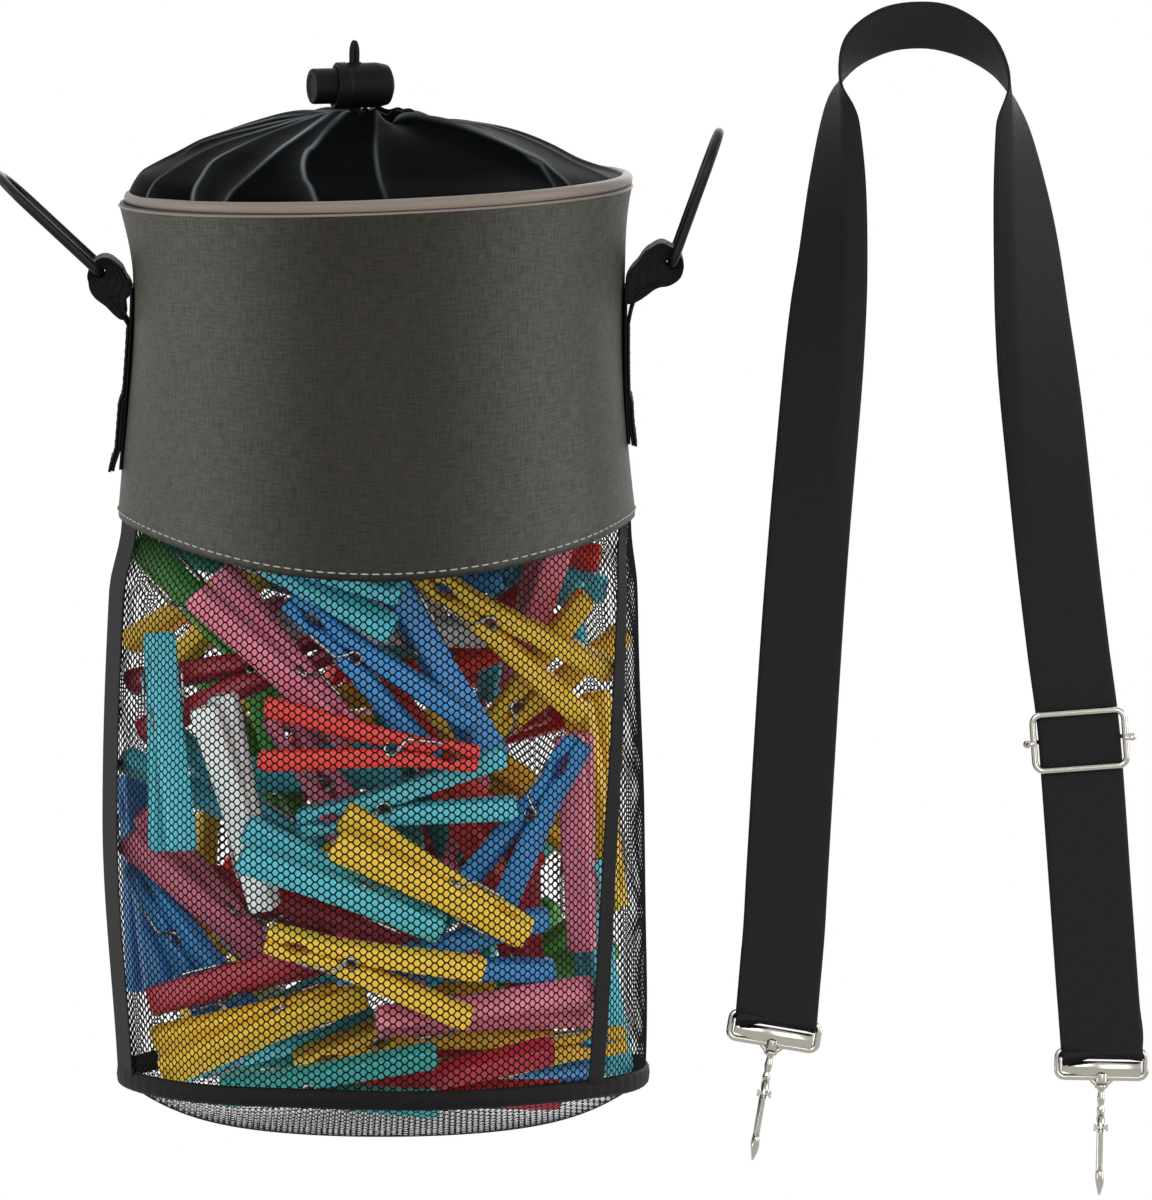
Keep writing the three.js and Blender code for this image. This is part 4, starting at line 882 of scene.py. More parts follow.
def hood_creases(angle, share, r):
    """Height of all creases and the painted highlight on their crests: each one falls off exponentially on
    both flanks from a finely rounded crest, narrower toward the throat, and fades beyond the ends of its way.
    Its wider flank gets a faint painted sheen."""
    total, crest = np.zeros(r.shape), np.zeros(r.shape)
    for way, height, near, far, light in CREASES:
        knots = smooth_path(np.array(way), 8)
        off = turned_from(angle, np.radians(np.interp(share, knots[:, 0], knots[:, 1]))) * r
        flank = np.where(off < 0, near, far) * np.clip(r / 52.0, 0.25, 1.2)
        start, end = way[0][0], way[-1][0]
        fade = smoothstep(share, start - 0.08, start + 0.04) * (1 - smoothstep(share, end - 0.02, end + 0.1))
        total += height * fade * np.exp(-(np.sqrt(off**2 + 0.16) - 0.4) / flank)
        # painted highlight: a thin bright line along the crest, brighter and dimmer by turns along its way,
        # and a faint painted sheen on the wider flank
        wide = off < 0 if near > far else off > 0
        line = np.exp(-(((off + 0.45 * np.cos(angle)) / 0.62) ** 2))
        line = line * (0.22 + 0.7 * np.sin(4.4 * share + way[0][1]) ** 2)
        crest += light * fade * (line + 0.07 * wide * np.exp(-np.abs(off) / np.minimum(0.6 * flank, 4.0)))
    return total, crest


def hood_surface(angle, share):
    """Dome from the rim to the throat, rising with a power of the way in, with creases, fine gathers, a soft
    puff and a peak at the throat's front; and the painted highlight on its crests."""
    r = mix(HOOD_R, THROAT_R - 1.0, share) + 5.0 * share / 0.06 * np.exp(1 - share / 0.06) + 0.0 * angle
    dome = HOOD_RISE * (1 - (1 - share) ** 2.1) - THROAT_DIP * share**6
    grow = (0.25 + 0.75 * smoothstep(share, 0.0, 0.25)) * (1 - 0.5 * smoothstep(share, 0.7, 1.0))
    creases, crest = hood_creases(angle, share, r)
    gathers = 0.8 * np.cos(13 * angle + 1.5 * np.sin(3 * angle)) + 0.5 * np.cos(23 * angle)
    gathers = smoothstep(share, 0.6, 0.97) * gathers
    left, right = (np.exp(-((turned_from(angle, math.radians(at)) / 0.85) ** 2)) for at in (182, 15))
    puff = 5.5 * left * smoothstep(share, 0.0, 0.1) * (1 - 0.85 * smoothstep(share, 0.12, 0.6))
    puff = puff - 4.0 * right * smoothstep(share, 0.03, 0.25) * (1 - 0.7 * smoothstep(share, 0.75, 1.0))
    slack = 0.7 * np.sin(2 * angle + 4 * share) * np.sin(math.pi * share)
    beside = turned_from(angle, math.radians(264))
    peak = 4.6 * np.exp(-((beside / np.where(beside < 0, 0.38, 0.21)) ** 2) - ((share - 0.82) / 0.09) ** 2)
    foot = RIM_Z + (rim_height(angle) - RIM_Z) * (1 - share)
    z = foot + dome + grow * (creases - 2.4) + gathers + puff + slack + peak
    return around(r + 0.8 * np.exp(-((share / 0.025) ** 2)), angle, z), crest * smoothstep(share, 0.0, 0.03)


def hood():
    """Collar behind the piping, dome, and casing rolled round the drawcord; and the painted highlight of the
    crests, nought on collar and casing.
    """
    cols = 880
    angle = angles_from_back(cols)
    dome, crest = hood_surface(angle[None], np.linspace(0, 1, 96)[:, None])
    seam = np.linspace(-6.0, -0.4, 6)[:, None]
    collar = around(HOOD_R + 0.1 * (seam + 6.0), angle[None], rim_height(angle)[None] + seam)
    turn = np.linspace(math.radians(-105), math.radians(-400), 10)[:, None]
    ruffle = 0.5 * np.cos(13 * angle + 1.5 * np.sin(3 * angle)) + 0.3 * np.cos(8 * angle + 1.0)
    grip = 2.5 + 0.55 * ruffle[None] * np.sin((turn - turn[0]) / (turn[-1] - turn[0]) * math.pi)
    height = CASING_Z + grip * np.sin(turn) + 0.4 * ruffle[None]
    curl = around(THROAT_R + grip * np.cos(turn), angle[None], height)
    points = np.concatenate([collar, dome, curl])
    light = np.concatenate([np.zeros((len(collar), cols)), crest, np.zeros((len(curl), cols))])
    return (points, grid_quads(len(points), cols)), light


hood_shape, hood_light = hood()
hood_piece = add_piece("Drawstring_hood", hood_shape, SATIN, replaces="drawstring_hood")
# the painted crest highlight is stored on the hood's points for the satin material
crest = hood_piece.data.attributes.new("crest", "FLOAT", "POINT")
crest.data.foreach_set("value", hood_light.ravel().astype(np.float32))


# Drawcord and spring cord lock

LOCK_PLACE = np.array([-8.1, -10.0, 68.4])
LOCK_YAW = math.radians(20)
LOCK_R, LOCK_MOUTH, LOCK_END = 8.3, -7.5, 13.8
PLUNGER_R, PLUNGER_FACE, PLUNGER_TAIL = 6.3, -16.0, 5.5
CORD_R, STRAND_OFFSET, LOOP_TOP = 0.95, 0.9, 84.6
LOCK_ALONG = np.array([math.cos(LOCK_YAW), math.sin(LOCK_YAW), 0.0])
LOCK_SIDE = np.array([-math.sin(LOCK_YAW), math.cos(LOCK_YAW), 0.0])


def on_lock(points):
    """Places of points given as across, up and along the lock's own axis."""
    p = np.asarray(points, float)
    return LOCK_PLACE + p[:, :1] * LOCK_SIDE + p[:, 1:2] * UP + p[:, 2:] * LOCK_ALONG


def drawcord_path():
    """Out of the casing, up through the lock, over in a small loop, down again and back into the casing."""
    lead = math.atan2(LOCK_PLACE[1], LOCK_PLACE[0])
    places = []
    for side in (1, -1):
        casing = [around(THROAT_R, lead + side * math.radians(step), CASING_Z)
                  for step in (95, 70, 45, 25, 12)]
        foot = LOCK_PLACE + side * STRAND_OFFSET * LOCK_ALONG
        rise = [np.array([foot[0], foot[1], z]) for z in (61.5, 68.0, 75.0, 81.0)]
        way = casing + rise
        places.append(way if side == 1 else way[::-1])
    top = np.array([LOCK_PLACE[0], LOCK_PLACE[1], LOOP_TOP - CORD_R])
    return smooth_path(np.array(places[0] + [top] + places[1]), 10)


cord_path = even_path(drawcord_path(), 220)
drawcord = add_piece(
    "Drawcord", tube(cord_path, CORD_R, 12, up=(0.3, 0.9, 0.1)), BLACK_THREAD, replaces="drawcord")


def rounded_profile(places, radius):
    """Line of radius and height with each inner corner rounded by a square curve between two cut points."""
    p = np.asarray(places, float)
    out = [p[:1]]
    t = np.linspace(0, 1, 5)[:, None]
    for before, here, after in zip(p[:-2], p[1:-1], p[2:]):
        cut = min(radius, 0.45 * np.linalg.norm(before - here), 0.45 * np.linalg.norm(after - here))
        a, b = here + cut * unit(before - here), here + cut * unit(after - here)
        out.append((1 - t) ** 2 * a + 2 * t * (1 - t) * here + t**2 * b)
    return np.concatenate(out + [p[-1:]])


def lock_barrel():
    """Turned barrel with a domed end and a collar with a wavy mouth; the cord's two holes are left out."""
    profile = rounded_profile([
        (0.02, LOCK_END - 2.2), (LOCK_R - 3.0, LOCK_END - 2.2), (LOCK_R - 1.7, LOCK_MOUTH + 0.2),
        (LOCK_R - 1.2, LOCK_MOUTH), (LOCK_R, LOCK_MOUTH), (LOCK_R, -3.4), (LOCK_R - 0.55, -2.9),
        (LOCK_R - 0.45, 0.0), (LOCK_R - 0.3, 8.0), (LOCK_R - 1.2, 12.2), (LOCK_R - 4.6, LOCK_END),
        (0.02, LOCK_END)], 0.8)
    points, faces = lathe(even_path(profile, 150), 96)
    turn = np.arctan2(points[:, 1], points[:, 0])
    near_mouth = 1 - smoothstep(points[:, 2], LOCK_MOUTH, -1.5)
    points[:, 2] += 1.1 * near_mouth * np.sin(turn + 0.9)
    wall = np.array(faces[:-2])
    middle = points[wall].mean(1)
    from_strands = np.hypot(np.maximum(np.abs(middle[:, 2]) - STRAND_OFFSET, 0), middle[:, 0])
    return on_lock(points), wall[from_strands >= CORD_R + 0.45]


def lock_hole_rims():
    """Rounded lips of the cord's holes, bent over the barrel's curve."""
    turn = TURN * np.arange(40) / 40
    reach = CORD_R + 0.5
    along = np.where(np.cos(turn) > 0, STRAND_OFFSET, -STRAND_OFFSET) + reach * np.cos(turn)
    across = reach * np.sin(turn)
    up = np.sqrt((LOCK_R - 0.42) ** 2 - across**2)
    return [tube(on_lock(np.stack([across, side * up, along], -1)), 0.34, 8, closed=True, up=side * UP)
            for side in (1, -1)]


add_piece("Cord_lock_barrel", join_parts([lock_barrel()] + lock_hole_rims()), MOULDING, body="cord_lock",
          replaces="cord_lock_body")

plunger_profile = rounded_profile([
    (0.02, PLUNGER_FACE + 0.5), (3.6, PLUNGER_FACE + 0.5), (4.4, PLUNGER_FACE), (PLUNGER_R, PLUNGER_FACE),
    (PLUNGER_R, PLUNGER_TAIL), (5.2, PLUNGER_TAIL), (5.0, PLUNGER_TAIL - 1.5), (0.02, PLUNGER_TAIL - 1.5),
], 0.9)
points, faces = lathe(even_path(plunger_profile, 90), 72)
add_piece("Cord_lock_plunger", (on_lock(points), faces), MOULDING, body="cord_lock_button",
          replaces="cord_lock_plunger")

coil_turn = np.linspace(0, 3.5 * TURN, 120)
coil_line = np.stack([4.5 * np.cos(coil_turn), 4.5 * np.sin(coil_turn), np.linspace(6.2, 11.0, 120)], -1)
coil = add_piece("Cord_lock_coil", tube(on_lock(coil_line), 0.4, 10, up=LOCK_ALONG), STEEL, body="cord_lock",
                 replaces="cord_lock_spring")
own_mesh(coil)


# Webbing tabs and their rings

# Each tab: the ring's bar by its reach and height, the tail's height, the ring's angle, how far the folded
# end lifts the outer ply and how far the tail flares, where the outer ply leaves the wound part, and that
# part's outline as angle in degrees and reach from the bar
TABS = {
    "left": {
        "side": -1, "reach": 98.0, "height": 2.8, "tail": -68.0, "ring": math.radians(43),
        "lift": 1.15, "flare": 1.7,
        "foot": [(95.0, -6.6), (92.6, -9.4), (90.4, -12.4)],
        "wound": [
            (0, 3.9), (40, 3.8), (75, 4.1), (107, 5.2), (153, 6.6), (194, 9.6), (201, 12.0), (216, 13.6),
            (224, 14.0), (229, 13.0), (235, 16.5), (242, 20.5), (249, 18.0), (256, 13.2), (266, 11.2),
            (288, 8.5), (314, 5.4)],
    },
    "right": {
        "side": 1, "reach": 103.8, "height": 5.7, "tail": -59.0, "ring": math.radians(70),
        "lift": 0.9, "flare": 0.4,
        "foot": [(97.0, -1.6), (93.6, -3.5), (91.0, -6.6), (89.5, -10.5)],
        "wound": [
            (11, 3.8), (60, 4.1), (98, 6.0), (119, 8.3), (140, 9.0), (178, 11.8), (198, 17.0), (204, 18.0),
            (213, 19.4), (219, 20.5), (224, 24.0), (227, 21.0), (231, 13.0), (241, 9.6), (276, 7.1),
            (304, 5.7), (327, 4.6)],
    },
}
TAB_WIDTH, TAB_THICKNESS = 24.0, 1.1
RING_R, RING_HALF_WIDTH, RING_LEG, RING_CORNER = 1.7, 15.3, 33.0, 3.0


def tab_wall(tab, z):
    """The band's surface behind a tab, where its first ply lies."""
    return band_face(0.0 if tab["side"] > 0 else math.pi, z) - 0.15


def outer_ply(tab, z):
    """Middle of the outer ply: over the first one, lifted by its folded end below, flared at the tail."""
    tail = -tab["tail"]
    lift = tab["lift"] * smoothstep(-z, 40.0, 44.0) + tab["flare"] * smoothstep(-z, tail - 9.0, tail)
    return tab_wall(tab, z) + 1.5 * TAB_THICKNESS - 0.1 + lift


def tab_plies(tab):
    """Middle lines and thicknesses of the plies on the band's side: the first one, the outer one out of the
    wound loop down to the tail, and its end that is folded in behind it."""
    low, folded = np.linspace(-3.0, tab["tail"] + 0.8, 24), np.linspace(-41.5, tab["tail"] + 0.3, 12)
    down = np.linspace(-16.0, tab["tail"], 20)
    first = np.stack([tab_wall(tab, low) + TAB_THICKNESS / 2, low], -1)
    outer = np.concatenate([tab["foot"], np.stack([outer_ply(tab, down), down], -1)])
    behind = np.stack([outer_ply(tab, folded) - 0.5 * (TAB_THICKNESS + tab["lift"]), folded], -1)
    plies = []
    for line, thickness in ((first, TAB_THICKNESS), (outer, TAB_THICKNESS), (behind, tab["lift"] + 0.1)):
        places = np.stack([tab["side"] * line[:, 0], np.zeros(len(line)), line[:, 1]], -1)
        plies.append((smooth_path(places, 4), thickness))
    return plies


def wound_webbing(tab):
    """Turns of the webbing round the ring's bar: between the bar's bore and an outline whose reach follows a
    table over the angle, the edge of each of four turns is a rounded bead."""
    cols, half, bore = 144, 11.6, RING_R + 0.4
    turn = TURN * np.arange(cols) / cols
    degrees, reach = np.array(tab["wound"], float).T
    outline = np.interp(np.degrees(turn), degrees, reach, period=360.0)
    outline = sum(np.roll(outline, step) for step in range(-2, 3)) / 5
    layers = np.linspace(0, 1, 41)
    bead = half - 0.35 * (1 - np.abs(np.sin(4 * math.pi * layers)) ** 0.5)
    share = np.concatenate([layers, np.ones(9), layers[::-1], np.zeros(5)])
    y = np.concatenate([-bead, np.linspace(1 - half, half - 1, 9), bead, np.linspace(half - 1, 1 - half, 5)])
    r = bore + (outline[None] - bore) * share[:, None]
    x, z = tab["reach"] + r * np.cos(turn), tab["height"] + r * np.sin(turn)
    points = np.stack([tab["side"] * x, np.broadcast_to(y[:, None], x.shape), z], -1)
    faces = grid_quads(len(share), cols, closed=True)
    far = np.cumsum(np.concatenate([[0], np.hypot(np.diff(y), 8 * np.diff(share)), [2.0]]))
    corners = grid_corners(len(share), cols, np.arange(cols + 1) * TURN * 8 / cols, far, closed=True)
    if tab["side"] > 0:
        faces, corners = faces[:, ::-1], corners[:, ::-1]
    return points.reshape(-1, 3), faces, corners.reshape(-1, 2)


def ring_line(tab):
    """Straight bar in the tab's loop, two legs and a round end, in the plane of Y and the ring's angle."""
    half, corner = RING_HALF_WIDTH, RING_CORNER
    quarter, bow = np.linspace(0, math.pi / 2, 8), np.linspace(math.pi / 2, -math.pi / 2, 40)
    bar = np.stack([np.zeros(12), np.linspace(-half + corner, half - corner, 12)], -1)
    rise = np.stack([corner - corner * np.cos(quarter), half - corner + corner * np.sin(quarter)], -1)
    end = np.stack([RING_LEG + half * np.cos(bow), half * np.sin(bow)], -1)
    fall = rise[::-1] * np.array([1, -1])
    flat = even_path(np.concatenate([bar, rise, end, fall]), 150, closed=True)
    out = np.array([tab["side"] * math.cos(tab["ring"]), 0.0, math.sin(tab["ring"])])
    start = np.array([tab["side"] * tab["reach"], 0.0, tab["height"]])
    return start + flat[:, :1] * out + flat[:, 1:] * FRONT, np.cross(out, FRONT)


for side, tab in TABS.items():
    layers = [ribbon(path, np.tile(-FRONT, (len(path), 1)), TAB_WIDTH, thickness)
              for path, thickness in tab_plies(tab)]
    layers.append(wound_webbing(tab))
    corners = np.concatenate([layer[2] for layer in layers])
    shape = *join_parts([layer[:2] for layer in layers]), corners
    add_piece(f"Strap_tab_{side}", shape, TAPE, replaces=f"strap_tab_{side}")
    path, normal = ring_line(tab)
    add_piece(f"Ring_{side}", tube(path, RING_R, 16, closed=True, up=normal), WIRE, body=f"ring_{side}",
              replaces=f"ring_{side}")


def tab_stitches(tab):
    """Two rows of stitches up a tab's outer ply, and one across it at each end of them."""
    low, high, step = tab["tail"] + 4.0, WAIST_Z - 14.0, 3.2
    z, y = np.arange(low, high, step), np.arange(-8.0, 8.1, step)
    x = outer_ply(tab, z) + TAB_THICKNESS / 2 - 0.2
    rows = [np.stack([tab["side"] * x, np.full_like(z, edge), z], -1) for edge in (-9.5, 9.5)]
    along = [np.tile(UP, (len(z), 1))] * 2
    for level in (low, high):
        face = tab["side"] * float(np.interp(level, z, x))
        rows.append(np.stack([np.full_like(y, face), y, np.full_like(y, level)], -1))
        along.append(np.tile(-FRONT, (len(y), 1)))
    centres = np.concatenate(rows)
    outward = np.tile([tab["side"], 0.0, 0.0], (len(centres), 1))
    return stitches(centres, np.concatenate(along), outward, 2.5, 0.18)


add_piece("Tab_stitches", join_parts([tab_stitches(tab) for tab in TABS.values()]), BLACK_THREAD)


# Slider and snap hooks of the strap


def in_hook(hook, points, up=0.0, back=FOLD_R, lean="lean"):
    """Places of points given across, back and up in a frame that leans with the hook, or with its leg."""
    across, depth, rise = leaning_axes(hook[lean])
    p = np.asarray(points, float).reshape(-1, 3)
    return on_leg(hook, up, back, lean) + p[:, :1] * across + p[:, 1:2] * depth + p[:, 2:] * rise


def rounded_loop(half_width, low, high, corner, count):
    """Closed rectangle with round corners, as x and z."""
    quarter = np.linspace(0, math.pi / 2, 10)
    right, top, bottom = half_width - corner, high - corner, low + corner
    arcs = []
    for k, (x, z) in enumerate([(right, top), (-right, top), (-right, bottom), (right, bottom)]):
        turn = quarter + k * math.pi / 2
        arcs.append(np.stack([x + corner * np.cos(turn), z + corner * np.sin(turn)], -1))
    return even_path(np.concatenate(arcs), count, closed=True)


def ball(centre, radius):
    """Half circle turned about the upright axis through a centre."""
    turn = np.linspace(-math.pi / 2, math.pi / 2, 12)
    points, faces = lathe(np.stack([np.maximum(radius * np.cos(turn), 0.01), radius * np.sin(turn)], -1), 20)
    return points + np.asarray(centre, float), faces


FRAME_HALF_WIDTH, FRAME_Y = 16.2, -2.05


def slider_frame():
    """Wire rectangle in front of the webbing."""
    flat = rounded_loop(FRAME_HALF_WIDTH, -9.9, 9.9, 3.2, 140)
    path = np.stack([flat[:, 0], np.full(len(flat), FRAME_Y), flat[:, 1]], -1)
    return tube(path, 1.15, 14, closed=True, up=(0, 1, 0))


def slider_bar():
    """Bar behind the webbing; its ends come forward outside the frame and end in small balls."""
    curl, reach, bar_y = np.radians([60, 20, -20, -60, -100]), 2.4, 3.55
    right = [(14.3, bar_y), (16.9, 2.1)]
    right += [(FRAME_HALF_WIDTH + reach * math.cos(a), FRAME_Y + reach * math.sin(a)) for a in curl]
    places = [(-x, y) for x, y in right[::-1]] + [(0.0, bar_y)] + right
    path = smooth_path(np.array([(x, y, 0.0) for x, y in places]), 8)
    balls = [ball((side * 18.5, -2.0, 0.0), 1.5) for side in (-1, 1)]
    return join_parts([tube(path, 0.9, 12, up=(0, 0, 1))] + balls)


for name, (points, faces) in (("frame", slider_frame()), ("bar", slider_bar())):
    shape = in_hook(RIGHT_HOOK, points, SLIDER_UP, 0.0, "leg"), faces
    add_piece(f"Slider_{name}", shape, CHROME, body="slider", replaces=f"slider_{name}")


def plate_block(outline, thickness, bevel):
    """Flat plate of a convex outline in x and z with bevelled rims on both faces."""
    outline, half = np.asarray(outline, float), thickness / 2
    inner = outline - unit(outline - outline.mean(0)) * bevel
    rings = [(inner, -half), (outline, -half + bevel), (outline, half - bevel), (inner, half)]
    points = np.concatenate([np.stack([o[:, 0], np.full(len(o), y), o[:, 1]], -1) for o, y in rings])
    faces = grid_quads(len(rings), len(outline)).tolist()
    return points, faces + [cap[::-1] for cap in end_caps(len(rings), len(outline))]


def hook_loop():
    """Wire loop through the webbing's fold, a plate under the fold, and a pronged foot round the swivel."""
    flat = rounded_loop(15.6, -9.5, 0.0, 2.6, 120)
    wire_path = np.stack([flat[:, 0], np.zeros(len(flat)), flat[:, 1]], -1)
    wire = tube(wire_path, 1.15, 12, closed=True, up=(0, 1, 0))
    outline = [(-13.9, -3.7), (13.9, -3.7), (14.1, -8.6), (6.0, -9.2), (-6.0, -9.2), (-14.1, -7.4)]
    prong = [(4.2, -8.6), (3.4, -10.4), (1.9, -12.0), (1.5, -13.3)]
    prongs = [tube(smooth_path([(side * x, 0, z) for x, z in prong], 5), np.linspace(0.95, 0.6, 16), 10,
                   up=(0, 1, 0)) for side in (-1, 1)]
    collar = [(1.35, -11.5), (1.35, -8.0), (2.2, -8.0), (2.2, -11.0), (1.9, -11.5)]
    plate = plate_block(outline, 2.4, 0.35)
    return join_parts([wire, plate, lathe(rounded_profile(collar, 0.4), 28)] + prongs)


def stretched_tube(path, wide, deep, sides=16):
    """Tube in the YZ plane whose section is an ellipse: so wide along X and so deep within the plane."""
    along = tangents(path)
    side = np.tile([1.0, 0.0, 0.0], (len(path), 1))
    within = np.cross(along, side)
    turn = TURN * np.arange(sides) / sides
    wide, deep = (np.broadcast_to(size, (len(path),))[:, None, None] for size in (wide, deep))
    ring = (side[:, None] * np.cos(turn)[None, :, None] * wide
            + within[:, None] * np.sin(turn)[None, :, None] * deep)
    faces = grid_quads(len(path), sides).tolist() + end_caps(len(path), sides)
    return (path[:, None] + ring).reshape(-1, 3), faces


def hook_bow():
    """Beaded swivel shaft, and the bow: up one arm, over the top, down the back and round to the nose."""
    shaft = lathe(rounded_profile([
        (0.02, -9.0), (0.9, -9.0), (1.0, -11.9), (1.9, -12.1), (1.9, -13.0), (1.0, -14.2), (1.45, -16.8),
        (1.0, -19.6), (1.5, -21.0), (1.2, -23.0), (0.02, -23.4)], 0.7), 28)
    bow_r = 6.7
    top, low = np.linspace(math.radians(168), 0, 24), np.linspace(0, -math.radians(188), 26)
    upper = np.stack([bow_r * np.cos(top), -29.0 + bow_r * np.sin(top)], -1)
    lower = np.stack([bow_r * np.cos(low), -43.0 + bow_r * np.sin(low)], -1)
    flat = even_path(np.concatenate([[(-6.8, -27.9)], upper, lower, [(-6.6, -42.3)]]), 130)
    path = np.stack([np.zeros(len(flat)), flat[:, 0], flat[:, 1]], -1)
    z = flat[:, 1]
    beads = 0.25 * np.cos(TURN * (z + 24.2) / 7.0) * smoothstep(z, -30, -27)
    wide = 1.2 + beads - 0.5 * smoothstep(-z, 46.5, 49.7) + 0.2 * np.exp(-(((z + 45.5) / 2.0) ** 2))
    share = np.linspace(0, 1, len(flat))
    deep = 1.65 - 0.6 * smoothstep(share, 0.9, 1.0) - 0.3 * smoothstep(0.06 - share, 0.0, 0.06)
    return join_parts([shaft, stretched_tube(path, wide, deep)])


def hook_gate():
    """Lever from its eye on the pin down to the inside of the nose, hollowed inside for the spring."""
    eye, tip = np.array([-6.8, -26.5]), np.array([-2.7, -45.0])
    t = np.linspace(0, 1, 40)
    hollow = smoothstep(t, 0.1, 0.2) * (1 - smoothstep(t, 0.62, 0.8))
    flat = eye + t[:, None] * (tip - eye) - 0.4 * hollow[:, None] * np.array([1.0, 0.2])
    path = np.stack([np.zeros(len(t)), flat[:, 0], flat[:, 1]], -1)
    deep = np.where(t < 0.12, 1.5, 1.2) - 0.4 * hollow
    return stretched_tube(path, 0.6, deep * np.sqrt(np.clip(1 - (2 * t - 1) ** 16, 0.02, 1)), 12)


HOOK_PARTS = [(hook_loop, "loop", "swivel_loop"), (hook_bow, "body", "bow"), (hook_gate, "gate", "lever")]
LEAF = smooth_path([
    (0.0, 1.25, -24.9), (0.0, -1.25, -24.9), (0.0, -2.0, -26.6), (0.0, -3.0, -31.3), (0.0, -3.2, -35.7)], 8)
for side, hook in (("left", LEFT_HOOK), ("right", RIGHT_HOOK)):
    for make, node, body in HOOK_PARTS:
        points, faces = make()
        add_piece(f"Hook_{side}_{body}", (in_hook(hook, points), faces), CHROME, body=f"hook_{side}_{body}",
                  replaces=f"hook_{side}_{node}")
    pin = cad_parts[f"hook_{side}_gate_pin"].data
    pin.materials.clear()
    pin.materials.append(STEEL)
    points, faces, _ = ribbon(LEAF, np.tile([1.0, 0.0, 0.0], (len(LEAF), 1)), 1.1, 0.4)
    spring = add_piece(f"Hook_{side}_gate_leaf", (in_hook(hook, points), faces), STEEL, body=None,
                       replaces=f"hook_{side}_gate_spring")
    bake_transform(spring)


# Clothes pegs inside the net, as photographed

PEG_LENGTH, PEG_HALF_WIDTH, PEG_PIVOT = 77.0, 5.2, 31.0
PEG_COLOURS = {
    "red": "#e23a30", "crimson": "#b42a3a", "pink": "#e97f96", "blue": "#3f90d0", "turquoise": "#57c6d6",
    "teal": "#2f9d9a", "yellow": "#f7c83c", "green": "#5fb455", "white": "#eef0ec",
}


def peg_outer(along):
    """Half thickness of the closed peg along its length: even at the jaws, growing to the open handle end."""
    return np.interp(
        along, [0, 2, 20, PEG_PIVOT, PEG_LENGTH - 3, PEG_LENGTH], [4.4, 5.1, 5.4, 6.6, 13.4, 12.6])


def peg_inner(along):
    """Half gap between the legs: oval near the jaws, groove at the spring, wedge towards the handles."""
    oval = 2.1 * np.exp(-(((along - 11.0) / 4.2) ** 4))
    groove = 1.9 * np.exp(-(((along - PEG_PIVOT) / 3.4) ** 4))
    wedge = np.maximum(along - PEG_PIVOT - 3, 0) * 0.135
    return 0.06 + np.maximum(np.maximum(oval, groove), wedge)


def squared(wave):
    """Sine or cosine drawn out toward the corners of a square."""
    return np.sign(wave) * np.abs(wave) ** 0.35


def peg_leg(side):
    """One leg: sections of squared ellipses along the length, between the inner and the outer line."""
    sides = 14
    even = np.linspace(1.6, PEG_LENGTH - 1.6, 30)
    along = np.concatenate([[0.0, 0.5], even, [PEG_LENGTH - 0.5, PEG_LENGTH]])
    close = np.ones(len(along))
    close[[0, -1]] = 0.72
    close[[1, -2]] = 0.9
    turn = TURN * (np.arange(sides) + 0.5) / sides
    low, high = peg_inner(along), peg_outer(along)
    half = (high - low) / 2 * close
    width = PEG_HALF_WIDTH * (0.9 + 0.1 * along / PEG_LENGTH) * close
    across = side * ((low + high)[:, None] / 2 + half[:, None] * squared(np.sin(turn))[None])
    wide = width[:, None] * squared(np.cos(turn))[None]
    points = np.stack([np.repeat(along[:, None], sides, 1), across, wide], -1).reshape(-1, 3)
    faces = grid_quads(len(along), sides).tolist()
    return points, faces + end_caps(len(along), sides)


def peg_spring():
    """Coil across the peg at its pivot, with an arm from each end forward over a leg's flank."""
    turn = np.linspace(0, TURN * 3.5, 56)
    coil = np.stack([PEG_PIVOT + 2.5 * np.cos(turn), 2.5 * np.sin(turn), np.linspace(-5.7, 5.7, 56)], -1)
    start = [(13.0, 3.6, -5.9), (15.0, 4.2, -5.9), (26.0, 4.0, -5.9)]
    end = [(26.0, -4.0, 5.9), (15.0, -4.2, 5.9), (13.0, -3.6, 5.9)]
    return tube(np.concatenate([start, coil, end]), 0.62, 6, up=(0.1, 0.2, 1.0))


def peg_samples():
    """Points all through a peg, a little inside its outer faces, by which it is tried against others."""
    steps = [-1, 0, 1]
    along, across, wide = np.meshgrid(np.linspace(1, PEG_LENGTH - 1, 9), steps, steps, indexing="ij")
    places = [along, across * peg_outer(along) * 0.92, wide * PEG_HALF_WIDTH * 0.95]
    return np.stack(places, -1).reshape(-1, 3)


PEG_SAMPLES = peg_samples()


def peg_frame(direction, facing, roll):
    """Axes of a peg: along it, across its legs and across its width, rolled about it from `facing`."""
    along = unit(direction)
    width = unit(facing - (facing @ along) * along)
    legs = np.cross(width, along)
    cos, sin = math.cos(roll), math.sin(roll)
    return np.array([along, legs * cos + width * sin, width * cos - legs * sin])


def reaches_in(points, origin, axes):
    """Whether any point of each stack lies inside a peg."""
    along, across, wide = np.moveaxis(np.einsum("...k,jk->...j", points - origin, axes), -1, 0)
    inside = ((np.abs(along - PEG_LENGTH / 2) < PEG_LENGTH / 2) & (np.abs(wide) < PEG_HALF_WIDTH)
              & (np.abs(across) < peg_outer(along) - 0.4))
    return inside.any(-1)


PILE_TOP, PILE_LOW = -72.0, -294.0
PUSHED_FROM, PUSHED_BY, PUSH_STEP = 60.0, 170.0, 1.5


